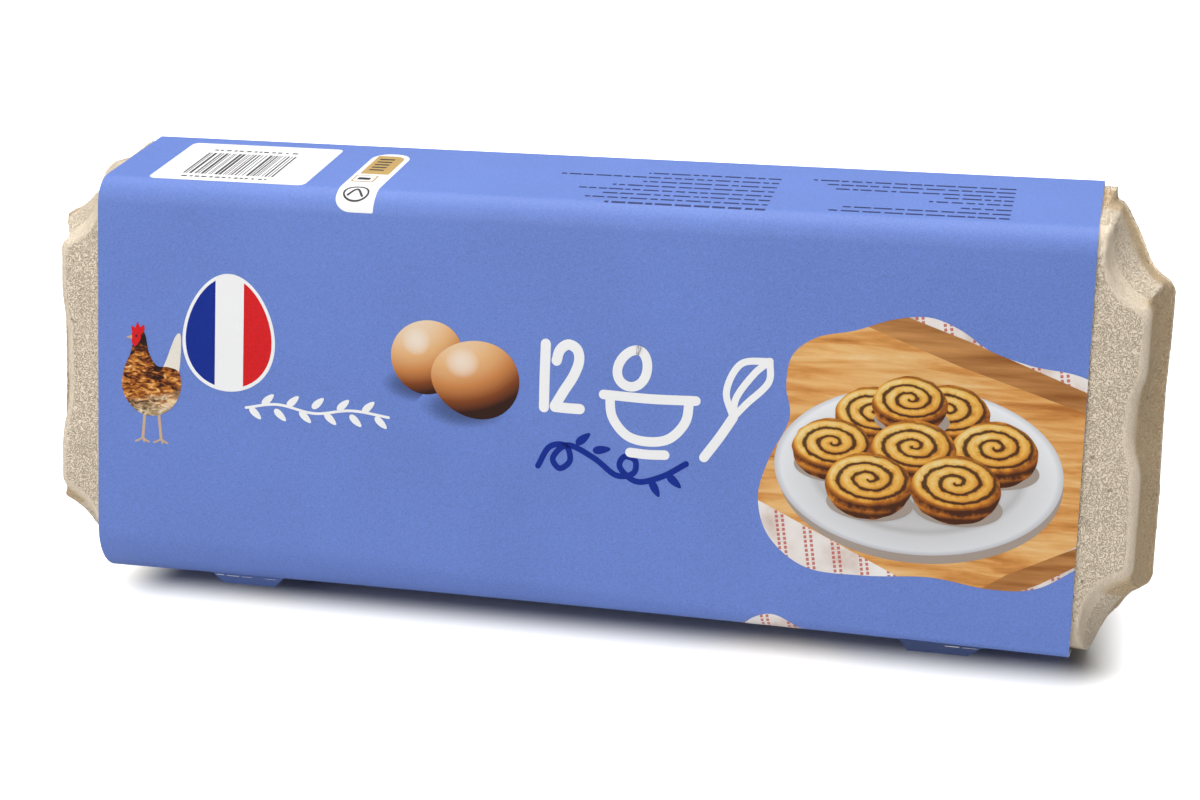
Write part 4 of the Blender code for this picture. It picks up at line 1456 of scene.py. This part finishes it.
    @staticmethod
    def flourish(deep):
        """Dark blue scroll under the signs."""
        art = Artwork("print_flourish")
        art.trace([(-6.4, -14.6), (-3.6, -9.6), (0.6, -9.0), (1.8, -12.6), (-0.8, -14.8),
                   (-2.6, -12.2), (1.2, -8.8), (8.0, -11.6), (13.6, -15.4), (18.0, -14.6),
                   (18.4, -11.4), (15.6, -10.6), (14.6, -13.4), (19.0, -16.6), (25.4, -14.8),
                   (31.2, -11.2)], 0.0015, deep)
        for x, s, tilt in ((5.0, -6.9, 40), (9.8, -9.3, 10), (23.6, -18.0, -60),
                           (28.4, -15.8, -40)):
            leaf = ellipse((x * MM, s * MM), (0.0023, 0.0010), 24, math.radians(tilt), 0.3)
            art.shape(leaf, deep)
        art.finish()

    @staticmethod
    def sprig(white):
        """Small white sprig under the badge."""
        art = Artwork("print_sprig")
        art.trace([(-84.6, -5.6), (-76.0, -4.2), (-66.0, -5.8), (-56.0, -4.4), (-46.0, -5.4)],
                  0.0007, white)
        for number in range(11):
            side = 1 if number % 2 else -1
            place = ((-82.0 + number * 3.4) * MM, (-5.0 + side * 1.9) * MM)
            art.shape(ellipse(place, (0.0021, 0.0009), 20, math.radians(side * 42), 0.25), white)
        art.finish()

    @staticmethod
    def picture(cloth):
        """Wavy field with a plate of round bakes on a board and a striped cloth."""
        art = Artwork("print_picture")
        wood = wood_print("print_wood", 24, (16.0, 90.0, 150.0), 2.2, 0.20, (
            (0.28, (0.410, 0.125, 0.020)), (0.46, (0.720, 0.320, 0.080)),
            (0.60, (0.850, 0.490, 0.180)), (0.78, (0.900, 0.640, 0.330))),
            Detail=6.0, Roughness=0.6, Distortion=0.4)
        side = wood_print("print_wood_side", -38, (20.0, 90.0, 220.0), 2.0, 0.25, (
            (0.30, (0.300, 0.100, 0.020)), (0.70, (0.620, 0.290, 0.090))), Detail=5.0)
        plate = plate_print()
        roll = roll_print()
        shade = plain_print("print_shade", (0.40, 0.33, 0.28), cloud=0.3, grain=0.1)
        outline = smooth_loop(scaled([
            (56.2, 17.5), (62.0, 22.2), (71.0, 24.4), (80.0, 27.6), (88.5, 28.6), (96.0, 26.0),
            (103.0, 21.6), (113.0, 18.6), (125.9, 16.4), (140.0, 8.0), (140.0, -20.0),
            (126.5, -29.0), (117.0, -34.8), (106.0, -35.8), (92.0, -34.2), (76.0, -35.2),
            (62.0, -34.4), (52.6, -27.6), (49.4, -18.0), (51.6, -8.4), (56.2, 2.0), (55.0, 10.0)]))
        board = scaled([(48.0, -3.0), (56.0, 24.5), (84.0, 27.0), (140.0, 3.0), (140.0, -14.0),
                        (112.0, -33.0), (96.0, -40.0), (48.0, -18.0)])
        near_side = scaled([(140.0, -12.0), (110.0, -32.0), (94.0, -40.0), (100.0, -42.0),
                            (118.0, -33.5), (140.0, -20.0)])
        far_side = scaled([(70.0, 25.5), (96.0, 17.5), (140.0, 1.5), (140.0, 8.0), (98.0, 23.5),
                           (80.0, 29.5)])
        under_plate = ellipse((0.0880, -0.0105), (0.0340, 0.0205), 96)
        dish = ellipse((0.0875, -0.0085), (0.0345, 0.0205), 96)
        for polygon, material in ((None, cloth), (board, wood), (near_side, side), (far_side, side),
                                  (under_plate, shade), (dish, plate)):
            art.shape(clip_inside(polygon, outline) if polygon else outline, material,
                      right_end=PICTURE_END, spacing=PICTURE_SPACING)
        rng = random.Random(5)
        for x, s, size in ((76.5, 4.0, 9.4), (94.0, 5.2, 10.0), (85.0, 7.4, 9.0), (67.0, -4.6, 9.8),
                           (105.5, -3.0, 10.2), (86.5, -4.0, 10.2), (76.0, -12.8, 10.5),
                           (97.0, -12.2, 10.7)):
            art.shape(ellipse((x * MM + 0.0006, (s - size * 0.42) * MM),
                              (size * MM, size * 0.42 * MM), 40), shade)
            around = []
            for step in range(32):
                angle = 2 * math.pi * step / 32
                rise = 0.76 if math.sin(angle) > 0 else 0.80
                wobble = size * (1.0 + rng.uniform(-0.018, 0.018))
                around.append((x + wobble * math.cos(angle), s + wobble * rise * math.sin(angle)))
            art.blob(around, roll, 3)
        art.finish()

    @staticmethod
    def lower_picture(cloth):
        """Second striped field, which mostly lies round the lower bend."""
        art = Artwork("print_lower_picture")
        edge = -FRONT_WIDTH / 2 / MM
        art.blob([(x, edge + up) for x, up in (
            (45.6, -1.5), (49.5, 2.4), (54.0, 3.8), (58.5, 2.2), (63.0, -1.5), (72.0, -9.0),
            (70.0, -20.0), (54.0, -26.0), (38.0, -19.0), (37.0, -8.0))], cloth)
        art.finish()


class PACK_OT_print_top(bpy.types.Operator):
    """Print the upper side: bar label, small gold label and lines of small print"""

    bl_idname = "pack.print_top"
    bl_label = "Side print"

    def execute(self, context):
        colours = context.scene.pack_colours
        white = plain_print("print_white", colours.white, cloud=0.04, grain=0.05)
        ink = plain_print("print_ink", (0.035, 0.035, 0.040))
        navy = plain_print("print_navy", (0.030, 0.045, 0.160))
        gold = plain_print("print_gold", colours.gold, cloud=0.35, grain=0.2)
        self.bar_label(white, ink)
        self.gold_label(white, gold, ink)
        self.small_print(navy)
        return {"FINISHED"}

    @staticmethod
    def bar_label(white, ink):
        """White label with plain bars that hold no code."""
        art = Artwork("print_bar_label")
        art.shape(top_box(-0.1142, -0.0713, 0.0045, 0.0349, (0.0018,) * 4), white)
        art.step = 0
        rng = random.Random(23)
        x, stop = BARS_SPAN
        while x < stop:
            width = rng.choice(BAR_WIDTHS)
            art.shape(top_bar(x, x + width, 0.0095, 0.0270), ink)
            x += width + rng.choice(BAR_GAPS)
        for row in (0.0068, 0.0290):
            x, stop = DOTS_SPAN
            while x < stop:
                length = rng.uniform(*DOT_LENGTHS)
                art.shape(top_bar(x, x + length, row, row + DASH_WIDTH), ink)
                x += length + rng.uniform(*DOT_GAPS)
        art.finish()

    @staticmethod
    def gold_label(white, gold, ink):
        """Narrow white label that runs over the bend, with a gold field and a ring."""
        art = Artwork("print_gold_label")
        art.shape(top_box(-0.0616, -0.0512, -0.0030, 0.0330, (0.0042, 0.0004, 0.0046, 0.0046)),
                  white)
        art.shape(top_box(-0.0603, -0.0526, 0.0160, 0.0312, (0.0006, 0.0006, 0.0030, 0.0006)), gold)
        for row in range(5):
            along = 0.0190 + row * 0.0022
            art.shape(top_bar(-0.0590, -0.0550, along, along + DASH_WIDTH), ink)
        for left, right, low, high, radius, material in (
                (-0.0606, -0.0546, 0.0095, 0.0146, 0.0004, gold),
                (-0.0602, -0.0550, 0.0099, 0.0142, 0.0003, white),
                (-0.0594, -0.0560, 0.0110, 0.0128, 0.0003, ink)):
            art.shape(top_box(left, right, low, high, (radius,) * 4), material)
        ring = ellipse((-0.0566, top_s(0.0026)), (0.0032, 0.0026), 32)
        art.line(ring + ring[:2], 0.0005, ink)
        tick = [(x, top_s(along))
                for x, along in ((-0.0586, 0.0018), (-0.0566, 0.0040), (-0.0548, 0.0016))]
        art.line(smooth_path(tick), 0.0006, ink)
        art.finish()

    @staticmethod
    def small_print(navy):
        """Two blocks of short dashes in rows, which only stand for small print."""
        art = Artwork("print_small_lines")
        art.step = 0
        rng = random.Random(41)
        for right, rows in SMALL_PRINT:
            for along, length in rows:
                x = right
                while x > right - length:
                    dash = rng.uniform(*DASH_LENGTHS)
                    low = max(x - dash, right - length)
                    art.shape(top_bar(low, x, along, along + DASH_WIDTH), navy)
                    x -= dash + rng.uniform(*DASH_GAPS)
        art.finish()


class PACK_OT_stage(bpy.types.Operator):
    """Set up the pale floor, the soft lights, the world and the camera"""

    bl_idname = "pack.stage"
    bl_label = "Floor, light and camera"

    def execute(self, context):
        self.floor()
        self.lights()
        self.world(context.scene)
        self.camera(context.scene)
        context.scene.view_settings.view_transform = "Standard"
        return {"FINISHED"}

    @staticmethod
    def floor():
        """Wide pale floor that shines a little away from the pack, as an overlit sweep does."""
        made = Finish("floor_pale")
        place = made.place()
        outside = []
        for part, (half_side, middle) in zip(made.parts(place), SHADED_FLOOR):
            beyond = (abs(part - middle) - half_side).to("MAXIMUM", 0.0)
            outside.append(beyond * beyond)
        distance = (outside[0] + outside[1]).to("SQRT")
        rise = made.span(distance, 0.0, SHADED_FLOOR_BLEND, kind="SMOOTHSTEP")
        seen = Value(made, made.add("LightPath").outputs["Is Camera Ray"])
        material = made.set({
            "Base Color": made.ramp(made.noise(3.0, place), ((0.0, 0.73), (1.0, 0.75))),
            "Emission Color": (1.0, 1.0, 1.0), "Emission Strength": rise * seen,
            "Roughness": 0.9, "Specular IOR Level": 0.1})
        half = FLOOR_SIDE / 2
        mesh = mesh_from("floor", [(-half, -half, 0), (half, -half, 0), (half, half, 0),
                                   (-half, half, 0)], [(0, 1, 2, 3)], (material,), smooth=False)
        add_object("floor", mesh)

    @staticmethod
    def lights():
        """Large soft lights: a strong one overhead, one in front to the left, a weak one behind."""
        for name, place, size, power in LIGHTS:
            data = bpy.data.lights.new(name, "AREA")
            data.shape = "SQUARE"
            data.size = size
            data.energy = power
            item = add_object(name, data)
            item.location = place
            aim = Vector((0.0, 0.0, 0.05)) - Vector(place)
            item.rotation_euler = aim.to_track_quat("-Z", "Y").to_euler()

    @staticmethod
    def world(scene):
        """White surroundings, seen as white and lighting softly."""
        scene.world = bpy.data.worlds.new("surroundings")
        scene.world.use_nodes = True
        nodes = Nodes(scene.world.node_tree)
        back = nodes.tree.nodes["Background"].inputs
        seen = Value(nodes, nodes.add("LightPath").outputs["Is Camera Ray"])
        nodes.fill(back["Color"], (1.0, 1.0, 1.0))
        nodes.fill(back["Strength"], seen * (1.0 - SURROUND_LIGHT) + SURROUND_LIGHT)

    @staticmethod
    def camera(scene):
        """Camera at the photograph's angle."""
        data = bpy.data.cameras.new("camera")
        data.lens = CAMERA_LENS
        data.sensor_width = 36.0
        data.clip_start = 0.01
        item = add_object("camera", data)
        item.location = pack_matrix() @ Vector(CAMERA_PLACE)
        item.rotation_euler = (math.pi / 2 - CAMERA_PITCH, 0.0, CAMERA_YAW)
        scene.camera = item


class PACK_PT_panel(bpy.types.Panel):
    """Panel that lists the pack's pieces and settings"""

    bl_idname = "PACK_PT_panel"
    bl_label = "Egg carton"
    bl_space_type = "VIEW_3D"
    bl_region_type = "UI"
    bl_category = "Egg carton"

    def draw(self, context):
        layout = self.layout
        for operator in OPERATORS:
            layout.operator(operator.bl_idname)
        for group in (context.scene.pack_colours, context.scene.pack_sizes):
            for name in group.__annotations__:
                layout.prop(group, name)


OPERATORS = (PACK_OT_sleeve, PACK_OT_lid, PACK_OT_base, PACK_OT_print_front, PACK_OT_print_top,
             PACK_OT_stage)
CLASSES = (PackColours, PackSizes, *OPERATORS, PACK_PT_panel)


def register():
    """Register the classes and hang the settings on the scene."""
    for item in CLASSES:
        bpy.utils.register_class(item)
    bpy.types.Scene.pack_colours = bpy.props.PointerProperty(type=PackColours)
    bpy.types.Scene.pack_sizes = bpy.props.PointerProperty(type=PackSizes)


def unregister():
    """Remove the settings and the classes."""
    del bpy.types.Scene.pack_colours
    del bpy.types.Scene.pack_sizes
    for item in reversed(CLASSES):
        bpy.utils.unregister_class(item)


def main():
    """Build everything."""
    register()
    bpy.ops.pack.sleeve()
    bpy.ops.pack.lid()
    bpy.ops.pack.base()
    bpy.ops.pack.print_front()
    bpy.ops.pack.print_top()
    bpy.ops.pack.stage()


if __name__ == "__main__":
    main()
